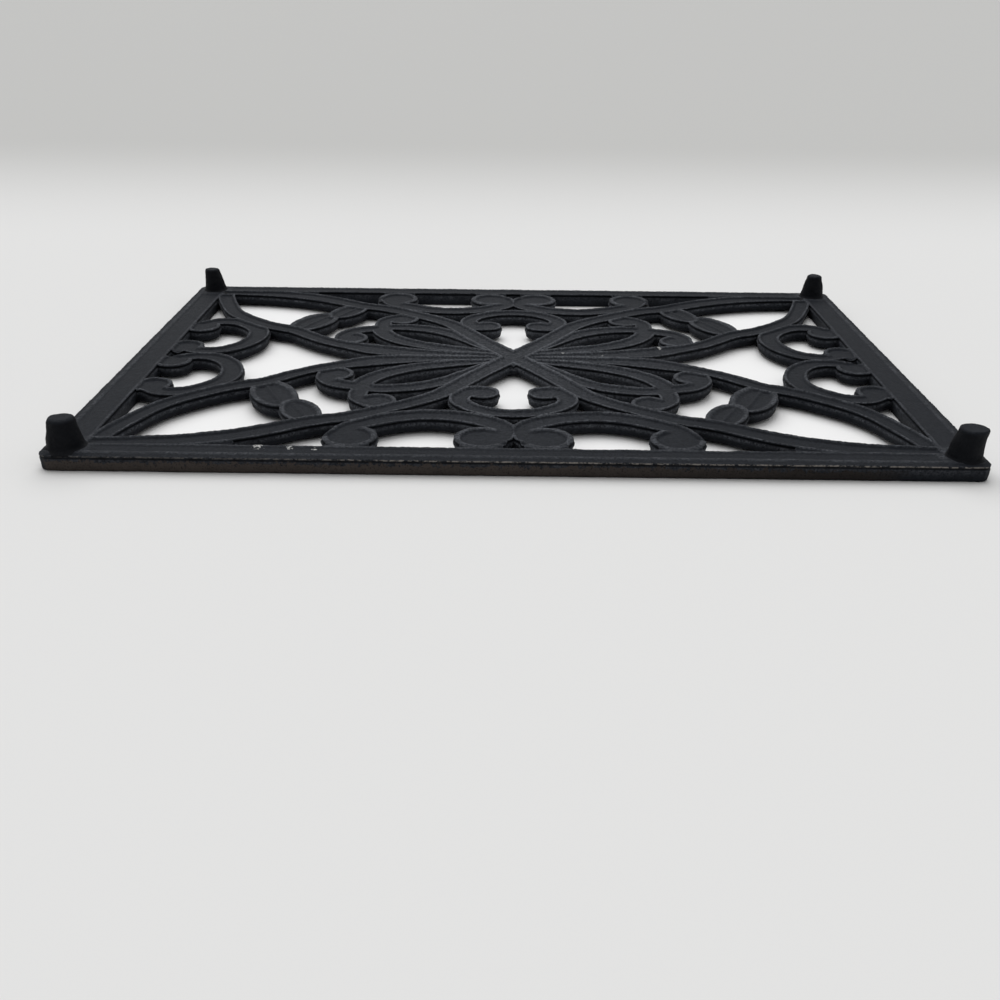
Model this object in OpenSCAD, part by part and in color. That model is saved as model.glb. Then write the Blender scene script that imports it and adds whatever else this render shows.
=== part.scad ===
// Openwork trivet, one casting, lying on its decorated face with its four feet up.
// X runs along the long side and Y along the short one, with the front at -Y.
// The scrollwork is drawn for one quarter, from the middle out, and mirrored to the other three.

/* [Plate] */
// Length over the outer edge
body_l = 255; // [220:1:300]
// Width over the outer edge
body_w = 175; // [155:1:205]
// Thickness from the decorated face to the foot side
plate_t = 5; // [4.4:0.1:7]
// Width of the front and back rails
rail_w = 8.5; // [7.5:0.1:10]
// Width of the two end rails
end_rail_w = 11; // [9:0.1:13]
// Radius of the corners of the outer edge
corner_r = 4; // [3.2:0.1:7]

/* [Rail edges] */
// Width of the sloping margin round the foot side
margin_w = 2.2; // [1.6:0.1:2.8]
// How far that margin slopes down
margin_drop = 0.9; // [0.4:0.1:1.4]
// Chamfer round the decorated face
face_chamfer = 1.1; // [0.5:0.1:1.6]
// Width of the bead beside the sloping margin
bead_w = 0.9; // [0.6:0.1:1.4]
// Depth of the channel along a rail
rail_relief = 0.3; // [0.2:0.1:0.8]

/* [Scrollwork] */
// Width of a band where its width share is 1
band_w = 7.6; // [7:0.1:8.4]
// Width of the rim along each side of a band
rim_w = 1.3; // [0.9:0.1:1.8]
// Depth of the channel between the rims
relief = 0.6; // [0.3:0.1:1]
// Height of the moulding raised on the decorated face of a band
moulding_h = 1.3; // [0.8:0.1:1.8]
// How far that moulding stands in from the sides of the band
moulding_in = 1.5; // [1:0.1:2]
// How far the moulding stays above the table
lift = 0.4; // [0.2:0.1:0.8]
// Radius of the boss in the middle
boss_r = 8.8; // [8:0.1:9.6]

/* [Scroll eyes and leaves] */
// Radius of the eyes of a long scroll
long_eye_r = 8; // [7.4:0.1:8.8]
// How far such an eye reaches into the rail
long_eye_bite = 0.5; // [0.3:0.1:1.2]
// Width of the root that joins such an eye to the rail
eye_root_w = 12.6; // [10:0.1:14]
// Radius of the eyes of an end scroll
end_eye_r = 6.4; // [5.8:0.1:7]
// How far such an eye reaches into the end rail
end_eye_bite = 2.9; // [2:0.1:3.6]
// Radius of the eyes of the middle scroll
middle_eye_r = 5.3; // [4.8:0.1:5.8]
// Radius of the eyes of a petal's two curls
curl_eye_r = 6.2; // [5.6:0.1:6.8]
// Width of the larger leaf
leaf_w = 14.2; // [12:0.1:16]
// Width of the smaller leaf
small_leaf_w = 12; // [10:0.1:13]
// Rim round a leaf or an eye
leaf_rim_w = 1.8; // [1.2:0.1:2.4]

/* [Feet] */
// Height of a foot above the plate
foot_h = 8.5; // [6:0.1:12]
// Radius of a foot at its base, without the fillet
foot_base_r = 4.8; // [4.2:0.1:5.2]
// Radius of a foot at its tip
foot_tip_r = 3.5; // [2.8:0.1:4]
// Rounding of the tip
foot_round = 1.1; // [0.4:0.1:1.4]
// Fillet at the base
foot_fillet = 0.6; // [0.4:0.1:1]
// Distance of a foot's axis from the outer edges
foot_in = 6.2; // [5.9:0.1:7.4]

/* [Hidden] */
// Half the length and half the width of the field inside the rails
field_l = body_l / 2 - end_rail_w;
field_w = body_w / 2 - rail_w;
// The extra depth of a cut
overrun = 1;
// Samples between two points of a centreline
steps = 3;
// Points round one side of a leaf and round a fillet
leaf_points = 13;
fillet_points = 5;
$fn = 48;

// Centrelines of the bands. Each row is a share of field_l, a share of field_w
// and a share of band_w. The first two lines run from the middle to a corner.
front_line_shares = [
    [0, 0, 1.05], [0.043, 0.101, 1.03], [0.082, 0.19, 1], [0.116, 0.272, 1], [0.153, 0.367, 1],
    [0.194, 0.466, 0.97], [0.247, 0.544, 0.95], [0.302, 0.605, 0.97], [0.361, 0.668, 1],
    [0.421, 0.722, 1.03], [0.481, 0.753, 1.05], [0.532, 0.79, 1.08], [0.592, 0.846, 1.13],
    [0.661, 0.899, 1.16], [0.738, 0.939, 1.13], [0.824, 0.967, 1.08], [0.918, 0.982, 1.05],
    [1.02, 0.992, 1.05]
];
end_line_shares = [
    [0, 0, 0.66], [0.086, 0.022, 0.63], [0.172, 0.029, 0.71], [0.258, 0.041, 0.95],
    [0.326, 0.052, 1.16], [0.382, 0.067, 1.32], [0.433, 0.095, 1.24], [0.481, 0.127, 1.03],
    [0.524, 0.158, 0.92], [0.567, 0.199, 0.89], [0.609, 0.253, 0.89], [0.648, 0.311, 0.92],
    [0.682, 0.354, 0.96], [0.721, 0.382, 1], [0.768, 0.424, 0.95], [0.815, 0.481, 0.92],
    [0.854, 0.534, 0.92], [0.888, 0.59, 0.92], [0.918, 0.663, 0.89], [0.944, 0.757, 0.91],
    [0.967, 0.848, 0.92], [0.987, 0.949, 0.92], [1, 1.02, 0.92]
];
// How many of a line's points its corner arc takes after the inner band
arc_points = 7;
end_arc_points = 9;
arm_points = len(front_line_shares) - 1 - arc_points;
wing_points = len(end_line_shares) - 1 - end_arc_points;
// The web that closes the gap between a corner arc and the rail
arc_web_shares = [[0.648, 0.935], [0.672, 1], [0.95, 1], [0.95, 0.97], [0.8, 0.95], [0.72, 0.925]];
petal_upper_shares = [
    [0.034, 0.025, 0.66], [0.103, 0.066, 0.79], [0.18, 0.1, 0.89], [0.258, 0.139, 0.95],
    [0.322, 0.191, 1], [0.372, 0.258, 1], [0.403, 0.335, 1], [0.412, 0.405, 0.92]
];
petal_lower_shares = [
    [0.043, 0.063, 0.66], [0.094, 0.146, 0.72], [0.142, 0.238, 0.79], [0.189, 0.316, 0.89],
    [0.24, 0.371, 0.97], [0.292, 0.4, 0.97], [0.343, 0.413, 0.97], [0.395, 0.41, 0.92]
];
curl_upper_shares = [
    [0.395, 0.392, 0.92], [0.442, 0.38, 0.97], [0.488, 0.347, 0.95], [0.517, 0.285, 0.87],
    [0.515, 0.228, 0.79]
];
curl_lower_shares = [
    [0.399, 0.399, 0.92], [0.41, 0.456, 0.87], [0.406, 0.519, 0.84], [0.382, 0.567, 0.79]
];
long_scroll_shares = [
    [0.028, 0.9, 0.92], [0.024, 0.832, 1.04], [0.042, 0.781, 1.1], [0.082, 0.737, 1.13], [0.144, 0.703, 1.09],
    [0.215, 0.691, 1.08], [0.283, 0.711, 1.08], [0.348, 0.759, 1.08], [0.403, 0.818, 0.95],
    [0.425, 0.88, 0.79]
];
middle_scroll_shares = [
    [0.077, 0.441, 1.26], [0.112, 0.435, 1.21], [0.137, 0.481, 0.97], [0.139, 0.544, 0.89],
    [0.107, 0.61, 0.87], [0.056, 0.656, 0.87], [0, 0.671, 0.87]
];
end_scroll_shares = [
    [0.961, 0.078, 1.05], [0.914, 0.038, 0.92], [0.854, 0.052, 0.97], [0.805, 0.125, 0.97],
    [0.781, 0.228, 1.03], [0.786, 0.329, 1.03], [0.82, 0.409, 1], [0.871, 0.466, 1],
    [0.927, 0.473, 1], [0.97, 0.43, 0.92]
];
// Places of the eyes: shares along the field, and across it where no rail sets them
long_eye_shares = [0.077, 0.393];
end_eye_shares = [0.101, 0.392];
middle_eye_share = [0.082, 0.446];
curl_eye_shares = [[0.493, 0.241], [0.355, 0.548]];
// The tips of each leaf
leaf_shares = [[0.678, 0.342], [0.584, 0.627]];
small_leaf_shares = [[0.571, 0.57], [0.5, 0.776]];

// The four quarters: a name, and the side of each axis
QUARTERS = [
    ["front_left", [-1, -1]], ["front_right", [1, -1]],
    ["back_left", [-1, 1]], ["back_right", [1, 1]]
];
// The pieces that every quarter has
QUARTER_PIECES = ["foot", "arm", "arc", "wing", "end_arc", "petal", "leaves", "long_scroll", "end_scroll"];

// A share of the field as a place
function place(s) = [s[0] * field_l, s[1] * field_w];
// The rows of a centreline as places with a width
function sized(rows) = [for (s = rows) [s[0] * field_l, s[1] * field_w, s[2] * band_w]];

// A smooth curve through the rows p
function between(a, b, c, d, t) =
    ((2 * b) + (c - a) * t + (2 * a - 5 * b + 4 * c - d) * t * t + (3 * b - 3 * c + d - a) * t * t * t) / 2;
function before(p, i) = i > 0 ? p[i - 1] : 2 * p[0] - p[1];
function after(p, i) = i < len(p) ? p[i] : 2 * p[i - 1] - p[i - 2];
function curve(p) = [
    for (i = [0 : len(p) - 2]) for (j = [0 : steps - 1])
        between(before(p, i), p[i], p[i + 1], after(p, i + 2), j / steps),
    p[len(p) - 1]
];

// The unit vector across the curve c at sample i, and one side of a band along c
function across(c, i) =
    let (a = c[max(i - 1, 0)], b = c[min(i + 1, len(c) - 1)], v = [a[1] - b[1], b[0] - a[0]]) v / norm(v);
function side_of(c, i, side, inset) = [c[i][0], c[i][1]] + across(c, i) * side * (c[i][2] / 2 - inset);

// The band along the curve c from sample a to sample b, drawn in by inset on both sides
module stretch(c, a, b, inset) {
    polygon(concat(
        [for (i = [a : b]) side_of(c, i, 1, inset)],
        [for (i = [b : -1 : a]) side_of(c, i, -1, inset)]
    ));
}

module band(rows, inset) {
    c = curve(sized(rows));
    stretch(c, 0, len(c) - 1, inset);
}

module eye(at, r, inset) {
    translate(at) circle(r - inset);
}

// A leaf between two tips
module leaf(tips, w, inset) {
    run = tips[1] - tips[0];
    l = norm(run);
    u = run / l;
    v = [-u[1], u[0]];
    reach = l / 2 - inset;
    half = w / 2 - inset;
    function rim_at(k) = (tips[0] + tips[1]) / 2
        + u * reach * cos(180 * k / (leaf_points - 1)) + v * half * sin(180 * k / (leaf_points - 1));
    polygon([for (k = [0 : 2 * (leaf_points - 1) - 1]) rim_at(k)]);
}

// Outlines of one quarter, each drawn in by inset. A piece gives way to the ones above it.
module quarter_2d() {
    square([field_l, field_w]);
}

module boss_2d(inset) {
    circle(boss_r - inset);
}

module front_line_2d(a, b, inset) {
    stretch(curve(sized(front_line_shares)), a * steps, b * steps, inset);
}

module end_line_2d(a, b, inset) {
    stretch(curve(sized(end_line_shares)), a * steps, b * steps, inset);
}

module arm_2d(inset) {
    difference() {
        front_line_2d(0, arm_points, inset);
        boss_2d(inset);
    }
}

module arc_2d(inset) {
    intersection() {
        union() {
            front_line_2d(arm_points, len(front_line_shares) - 1, inset);
            if (inset == 0) polygon([for (s = arc_web_shares) place(s)]);
        }
        quarter_2d();
    }
}

module wing_2d(inset) {
    difference() {
        intersection() {
            end_line_2d(0, wing_points, inset);
            quarter_2d();
        }
        boss_2d(inset);
        arm_2d(inset);
    }
}

module end_arc_2d(inset) {
    difference() {
        intersection() {
            end_line_2d(wing_points, len(end_line_shares) - 1, inset);
            quarter_2d();
        }
        arc_2d(inset);
    }
}

module petal_2d(inset) {
    difference() {
        union() {
            band(petal_upper_shares, inset);
            band(petal_lower_shares, inset);
            band(curl_upper_shares, inset);
            band(curl_lower_shares, inset);
            for (s = curl_eye_shares) eye(place(s), curl_eye_r, inset);
        }
        boss_2d(inset);
        arm_2d(inset);
        wing_2d(inset);
    }
}

module petal_channel_2d(inset) {
    band(petal_upper_shares, inset);
    band(petal_lower_shares, inset);
    band(curl_upper_shares, inset);
    band(curl_lower_shares, inset);
    for (s = curl_eye_shares) eye(place(s), curl_eye_r, leaf_rim_w);
}

module leaves_2d(inset) {
    difference() {
        union() {
            leaf([for (s = leaf_shares) place(s)], leaf_w, inset);
            leaf([for (s = small_leaf_shares) place(s)], small_leaf_w, inset);
        }
        front_line_2d(0, len(front_line_shares) - 1, inset);
        end_line_2d(0, len(end_line_shares) - 1, inset);
    }
}

module leaf_channel_2d() {
    leaf([for (s = leaf_shares) place(s)], leaf_w, leaf_rim_w);
    difference() {
        leaf([for (s = small_leaf_shares) place(s)], small_leaf_w, leaf_rim_w);
        leaf([for (s = leaf_shares) place(s)], leaf_w, 0);
    }
}

function long_eye_at(s) = [s * field_l, field_w - long_eye_r + long_eye_bite];
function end_eye_at(s) = [field_l - end_eye_r + end_eye_bite, s * field_w];

module long_scroll_2d(inset) {
    difference() {
        intersection() {
            union() {
                band(long_scroll_shares, inset);
                for (s = long_eye_shares) {
                    eye(long_eye_at(s), long_eye_r, inset);
                    translate(long_eye_at(s) - [eye_root_w / 2 - inset, 0])
                        square([eye_root_w - 2 * inset, long_eye_r]);
                }
            }
            quarter_2d();
        }
        front_line_2d(0, len(front_line_shares) - 1, inset);
    }
}

module long_channel_2d() {
    band(long_scroll_shares, rim_w);
    for (s = long_eye_shares) eye(long_eye_at(s), long_eye_r, leaf_rim_w);
}

// The middle scroll runs across two quarters, so its rows go on to the other side
function both_ways(rows) =
    concat(rows, [for (i = [len(rows) - 2 : -1 : 0]) [-rows[i][0], rows[i][1], rows[i][2]]]);

module both_sides() {
    children();
    mirror([1, 0, 0]) children();
}

module middle_scroll_2d(inset) {
    difference() {
        union() {
            band(both_ways(middle_scroll_shares), inset);
            both_sides() eye(place(middle_eye_share), middle_eye_r, inset);
        }
        both_sides() {
            arm_2d(inset);
            long_scroll_2d(inset);
        }
    }
}

module middle_channel_2d() {
    band(both_ways(middle_scroll_shares), rim_w);
    both_sides() eye(place(middle_eye_share), middle_eye_r, leaf_rim_w);
}

module end_scroll_2d(inset) {
    difference() {
        intersection() {
            union() {
                band(end_scroll_shares, inset);
                for (s = end_eye_shares) eye(end_eye_at(s), end_eye_r, inset);
            }
            quarter_2d();
        }
        end_line_2d(0, len(end_line_shares) - 1, inset);
    }
}

module end_channel_2d() {
    band(end_scroll_shares, rim_w);
    for (s = end_eye_shares) eye(end_eye_at(s), end_eye_r, leaf_rim_w);
}

// Casts a piece from three outlines: its full one, its raised moulding and its channel
module cast() {
    difference() {
        union() {
            translate([0, 0, lift + moulding_h]) linear_extrude(plate_t - lift - moulding_h) children(0);
            translate([0, 0, lift]) linear_extrude(moulding_h) children(1);
        }
        translate([0, 0, plate_t - relief]) linear_extrude(relief + overrun) children(2);
    }
}

// Keeps a channel clear of the foot in its corner
module foot_pad_2d() {
    translate(foot_at()) circle(foot_base_r + foot_fillet + rim_w);
}

module arm() {
    color("#303338") cast() {
        arm_2d(0);
        arm_2d(moulding_in);
        front_line_2d(0, arm_points, rim_w);
    }
}

module arc() {
    color("#303338") cast() {
        arc_2d(0);
        arc_2d(moulding_in);
        difference() {
            front_line_2d(arm_points, len(front_line_shares) - 1, rim_w);
            foot_pad_2d();
        }
    }
}

module wing() {
    color("#303338") cast() {
        wing_2d(0);
        wing_2d(moulding_in);
        end_line_2d(0, wing_points, rim_w);
    }
}

module end_arc() {
    color("#303338") cast() {
        end_arc_2d(0);
        end_arc_2d(moulding_in);
        difference() {
            end_line_2d(wing_points, len(end_line_shares) - 1, rim_w);
            foot_pad_2d();
        }
    }
}

module petal() {
    color("#34373c") cast() {
        petal_2d(0);
        petal_2d(moulding_in);
        petal_channel_2d(rim_w);
    }
}

module leaves() {
    color("#34373c") cast() {
        leaves_2d(0);
        leaves_2d(moulding_in);
        leaf_channel_2d();
    }
}

module long_scroll() {
    color("#303338") cast() {
        long_scroll_2d(0);
        long_scroll_2d(moulding_in);
        long_channel_2d();
    }
}

module end_scroll() {
    color("#303338") cast() {
        end_scroll_2d(0);
        end_scroll_2d(moulding_in);
        end_channel_2d();
    }
}

module middle_scroll() {
    color("#303338") cast() {
        middle_scroll_2d(0);
        middle_scroll_2d(moulding_in);
        middle_channel_2d();
    }
}

module boss() {
    color("#303338") cast() {
        boss_2d(0);
        boss_2d(moulding_in);
        boss_2d(leaf_rim_w);
    }
}

// Section of a rail of width w, from its outer edge in
function rail_section(w) = [
    [0, face_chamfer], [face_chamfer, 0], [w, 0],
    [w, plate_t], [margin_w, plate_t], [0, plate_t - margin_drop]
];

module rail_bar(l, w) {
    rotate([90, 0, 90]) linear_extrude(l, center = true) polygon(rail_section(w));
}

// The channel along a rail, which stops short of the feet
module rail_channel(l, w) {
    x = l - 2 * (foot_in + foot_base_r + foot_fillet + rim_w);
    y = w - margin_w - bead_w - rim_w;
    translate([-x / 2, margin_w + bead_w, plate_t - rail_relief]) cube([x, y, rail_relief + overrun]);
}

// The end of a long rail: its rounded corner, and the short edge from there to the end rail
module rail_end() {
    l = rail_w - corner_r;
    section = [for (p = rail_section(corner_r)) [corner_r - p[0], p[1]]];
    translate([body_l / 2 - corner_r, body_w / 2 - corner_r, 0]) rotate_extrude(angle = 90) polygon(section);
    translate([body_l / 2, field_w + l / 2, 0]) rotate([0, 0, 90]) rail_bar(l, corner_r);
}

// The back rail with its two rounded corners, mirrored for the front
module long_rail() {
    color("#2e3136") difference() {
        union() {
            translate([0, body_w / 2, 0]) mirror([0, 1, 0]) rail_bar(body_l - 2 * corner_r, rail_w);
            both_sides() rail_end();
        }
        translate([0, body_w / 2, 0]) mirror([0, 1, 0]) rail_channel(body_l, rail_w);
    }
}

module end_rail() {
    color("#2e3136") translate([body_l / 2, 0, 0]) rotate([0, 0, 90]) difference() {
        rail_bar(2 * field_w, end_rail_w);
        rail_channel(body_w, end_rail_w);
    }
}

function foot_at() = [body_l / 2 - foot_in, body_w / 2 - foot_in];

// Section of a foot: the fillet at its base, the tapered side and the rounded tip
function foot_section() = concat(
    [[0, -margin_drop], [foot_base_r + foot_fillet, -margin_drop]],
    [for (k = [0 : fillet_points]) let (t = 90 * k / fillet_points)
        [foot_base_r + foot_fillet * (1 - sin(t)), foot_fillet * (1 - cos(t))]],
    [for (k = [0 : fillet_points]) let (t = 90 * k / fillet_points)
        [foot_tip_r - foot_round * (1 - cos(t)), foot_h - foot_round * (1 - sin(t))]],
    [[0, foot_h]]
);

// The foot follows the slope of the margin that it stands on
module foot() {
    color("#1f2124") difference() {
        translate([foot_at()[0], foot_at()[1], plate_t]) rotate_extrude() polygon(foot_section());
        long_rail();
        end_rail();
        linear_extrude(plate_t) quarter_2d();
    }
}

// Puts a piece of the back right quarter in the quarter q
module in_quarter(q) {
    mirror([q[1][0] < 0 ? 1 : 0, 0, 0]) mirror([0, q[1][1] < 0 ? 1 : 0, 0]) children();
}

module quarter_piece(p) {
    if (p == "foot") foot();
    if (p == "arm") arm();
    if (p == "arc") arc();
    if (p == "wing") wing();
    if (p == "end_arc") end_arc();
    if (p == "petal") petal();
    if (p == "leaves") leaves();
    if (p == "long_scroll") long_scroll();
    if (p == "end_scroll") end_scroll();
}

mirror([0, 1, 0]) long_rail();  // front_rail
long_rail();  // back_rail
mirror([1, 0, 0]) end_rail();  // left_rail
end_rail();  // right_rail
boss();
mirror([0, 1, 0]) middle_scroll();  // middle_scroll_front
middle_scroll();  // middle_scroll_back
for (p = QUARTER_PIECES) for (q = QUARTERS)
    in_quarter(q) quarter_piece(p);
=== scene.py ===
"""Openwork cast iron trivet, lying on its decorated face with its four feet up.

The foot side of the casting is modelled as one skin over the scrollwork's centrelines and
then parted into the pieces of the frame, so that rims and fillets run on across the cuts.
"""

import functools
import math

import bpy
import numpy as np
from bpy.props import FloatProperty, FloatVectorProperty, IntProperty, PointerProperty
from bpy.types import Operator, Panel, PropertyGroup
from mathutils import Matrix, Vector


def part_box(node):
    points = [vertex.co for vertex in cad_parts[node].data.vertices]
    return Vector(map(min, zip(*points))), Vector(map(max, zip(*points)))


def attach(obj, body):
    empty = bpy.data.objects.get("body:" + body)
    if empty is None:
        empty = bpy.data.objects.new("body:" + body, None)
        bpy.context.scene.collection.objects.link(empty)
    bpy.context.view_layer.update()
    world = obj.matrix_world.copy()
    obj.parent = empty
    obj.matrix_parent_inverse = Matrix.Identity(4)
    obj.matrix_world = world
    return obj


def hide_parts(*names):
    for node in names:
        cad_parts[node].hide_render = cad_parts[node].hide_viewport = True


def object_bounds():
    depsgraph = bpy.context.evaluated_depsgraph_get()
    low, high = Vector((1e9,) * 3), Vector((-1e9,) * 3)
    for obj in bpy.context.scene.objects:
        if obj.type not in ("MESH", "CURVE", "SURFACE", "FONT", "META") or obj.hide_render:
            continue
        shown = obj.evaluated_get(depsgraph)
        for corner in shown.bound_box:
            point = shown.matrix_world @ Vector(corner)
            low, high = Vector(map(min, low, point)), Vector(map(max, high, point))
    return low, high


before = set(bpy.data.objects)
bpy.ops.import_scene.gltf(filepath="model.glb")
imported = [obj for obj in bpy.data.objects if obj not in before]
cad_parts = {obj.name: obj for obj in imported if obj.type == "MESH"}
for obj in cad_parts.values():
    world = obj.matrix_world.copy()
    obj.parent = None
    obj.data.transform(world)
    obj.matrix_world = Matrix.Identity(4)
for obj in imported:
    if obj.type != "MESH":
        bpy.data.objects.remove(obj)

bl_info = {
    "name": "Cast Iron Trivet",
    "version": (1, 0, 0),
    "blender": (4, 5, 0),
    "location": "3D View > Sidebar > Trivet",
    "description": "Dresses the frame of an openwork trivet as a painted iron casting",
    "category": "Add Mesh",
}

MM = 0.001
# Points are welded where they round to the same place, with this many steps to the millimetre
WELD_STEPS = 1e4
CAD_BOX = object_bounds()
BODY = "root"
QUARTERS = {
    "front_left": (-1, -1),
    "front_right": (1, -1),
    "back_left": (-1, 1),
    "back_right": (1, 1),
}

# Sizes that the frame gives, in millimetres
BODY_L = (CAD_BOX[1].x - CAD_BOX[0].x) / MM
BODY_W = (CAD_BOX[1].y - CAD_BOX[0].y) / MM
FOOT_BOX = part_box("foot_back_right")
FIELD_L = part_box("right_rail")[0].x / MM
FIELD_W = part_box("back_rail")[0].y / MM
PLATE_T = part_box("right_rail")[1].z / MM
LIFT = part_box("arc_back_right")[0].z / MM
FOOT_TOP = FOOT_BOX[1].z / MM
FOOT_AT = ((FOOT_BOX[0] + FOOT_BOX[1]) / 2 / MM).xy

# Centrelines of the bands of one quarter, from the middle out. Each row is a share of the
# field's half length, a share of its half width and a share of the band's width.
CENTRELINE_SHARES = {
    "front_line": [
        (0, 0, 1.05), (0.043, 0.101, 1.03), (0.082, 0.19, 1), (0.116, 0.272, 1), (0.153, 0.367, 1),
        (0.194, 0.466, 0.97), (0.247, 0.544, 0.95), (0.302, 0.605, 0.97), (0.361, 0.668, 1),
        (0.421, 0.722, 1.03), (0.481, 0.753, 1.05), (0.532, 0.79, 1.08), (0.592, 0.846, 1.13),
        (0.661, 0.899, 1.16), (0.738, 0.939, 1.13), (0.824, 0.967, 1.08), (0.918, 0.982, 1.05),
        (1.02, 0.992, 1.05),
    ],
    "end_line": [
        (0, 0, 0.66), (0.086, 0.022, 0.63), (0.172, 0.029, 0.71), (0.258, 0.041, 0.95),
        (0.326, 0.052, 1.16), (0.382, 0.067, 1.32), (0.433, 0.095, 1.24), (0.481, 0.127, 1.03),
        (0.524, 0.158, 0.92), (0.567, 0.199, 0.89), (0.609, 0.253, 0.89), (0.648, 0.311, 0.92),
        (0.682, 0.354, 0.96), (0.721, 0.382, 1), (0.768, 0.424, 0.95), (0.815, 0.481, 0.92),
        (0.854, 0.534, 0.92), (0.888, 0.59, 0.92), (0.918, 0.663, 0.89), (0.944, 0.757, 0.91),
        (0.967, 0.848, 0.92), (0.987, 0.949, 0.92), (1, 1.02, 0.92),
    ],
    "petal_upper": [
        (0.034, 0.025, 0.66), (0.103, 0.066, 0.79), (0.18, 0.1, 0.89), (0.258, 0.139, 0.95),
        (0.322, 0.191, 1), (0.372, 0.258, 1), (0.403, 0.335, 1), (0.412, 0.405, 0.92),
    ],
    "petal_lower": [
        (0.043, 0.063, 0.66), (0.094, 0.146, 0.72), (0.142, 0.238, 0.79), (0.189, 0.316, 0.89),
        (0.24, 0.371, 0.97), (0.292, 0.4, 0.97), (0.343, 0.413, 0.97), (0.395, 0.41, 0.92),
    ],
    "curl_upper": [
        (0.395, 0.392, 0.92), (0.442, 0.38, 0.97), (0.488, 0.347, 0.95), (0.517, 0.285, 0.87),
        (0.515, 0.228, 0.79),
    ],
    "curl_lower": [
        (0.399, 0.399, 0.92), (0.41, 0.456, 0.87), (0.406, 0.519, 0.84), (0.382, 0.567, 0.79),
    ],
    "long_scroll": [
        (0.028, 0.9, 0.92), (0.024, 0.832, 1.04), (0.042, 0.781, 1.1), (0.082, 0.737, 1.13),
        (0.144, 0.703, 1.09), (0.215, 0.691, 1.08), (0.283, 0.711, 1.08), (0.348, 0.759, 1.08),
        (0.403, 0.818, 0.95), (0.425, 0.88, 0.79),
    ],
    "middle_scroll": [
        (0.077, 0.441, 1.26), (0.112, 0.435, 1.21), (0.137, 0.481, 0.97), (0.139, 0.544, 0.89),
        (0.107, 0.61, 0.87), (0.056, 0.656, 0.87), (0, 0.671, 0.87),
    ],
    "end_scroll": [
        (0.961, 0.078, 1.05), (0.914, 0.038, 0.92), (0.854, 0.052, 0.97), (0.805, 0.125, 0.97),
        (0.781, 0.228, 1.03), (0.786, 0.329, 1.03), (0.82, 0.409, 1), (0.871, 0.466, 1),
        (0.927, 0.473, 1), (0.97, 0.43, 0.92),
    ],
}
PETAL_BANDS = ("petal_upper", "petal_lower", "curl_upper", "curl_lower")
# Rows at which the arm gives way to the arc, and the wing to the end arc
FRONT_LINE_SPLIT = 10
END_LINE_SPLIT = 13
# Points of the smooth curve between two rows
LINE_STEPS = 4
# The web, the eyes and the two ends of each leaf, as shares of the field
ARC_WEB_SHARES = ((0.648, 0.935), (0.672, 1))
LONG_EYE_SHARES = (0.077, 0.393)
END_EYE_SHARES = (0.101, 0.392)
MIDDLE_EYE_SHARE = (0.082, 0.446)
CURL_EYE_SHARES = ((0.493, 0.241), (0.355, 0.548))
LEAF_SHARES = ((0.678, 0.342), (0.584, 0.627))
SMALL_LEAF_SHARES = ((0.58, 0.548), (0.499, 0.78))
# Where the ring of each eye opens to the band that runs into it: the middle of the opening
# and half its width, in degrees
EYE_OPENINGS = {
    "long_scroll": ((187, 42), (-52, 50)),
    "end_scroll": ((-103, 43), (97, 47)),
    "petal": ((17, 72), (0, 42)),
}

# Each foot was shaped one by one: shares of the base radius and of the tip radius, the rounding
# of its tip, and how far its base is shifted, its tip leans and its side bows outwards along
# the length, in millimetres
FOOT_SHAPES = {
    "front_left": (1.13, 1.03, 1.1, -0.3, 0.4, 0.35),
    "front_right": (1.02, 1.08, 0.6, 0.3, 1.25, -0.4),
    "back_left": (0.98, 0.78, 0.8, -0.9, 1.0, 0.0),
    "back_right": (1.06, 0.8, 0.8, -0.9, 0.5, 0.0),
}

# How far a foot reaches down into the rail, in millimetres
FOOT_SUNK = 0.7

# White scuffs on the top: where each one lies and how far it reaches, in millimetres
SCUFFS = ((-69.4, -79.7, 2.4), (-60.8, -80.6, 1.3), (-53.9, -81.0, 1.2), (-79.9, -70.4, 1.1),
          (16.7, 4.3, 1.1), (16.7, -3.6, 1.1), (20.2, 2.7, 1.3), (20.2, -2.3, 1.2),
          (25.4, -2.0, 1.2), (30.0, 3.9, 1.4), (50.5, 11.3, 1.4))


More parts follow.
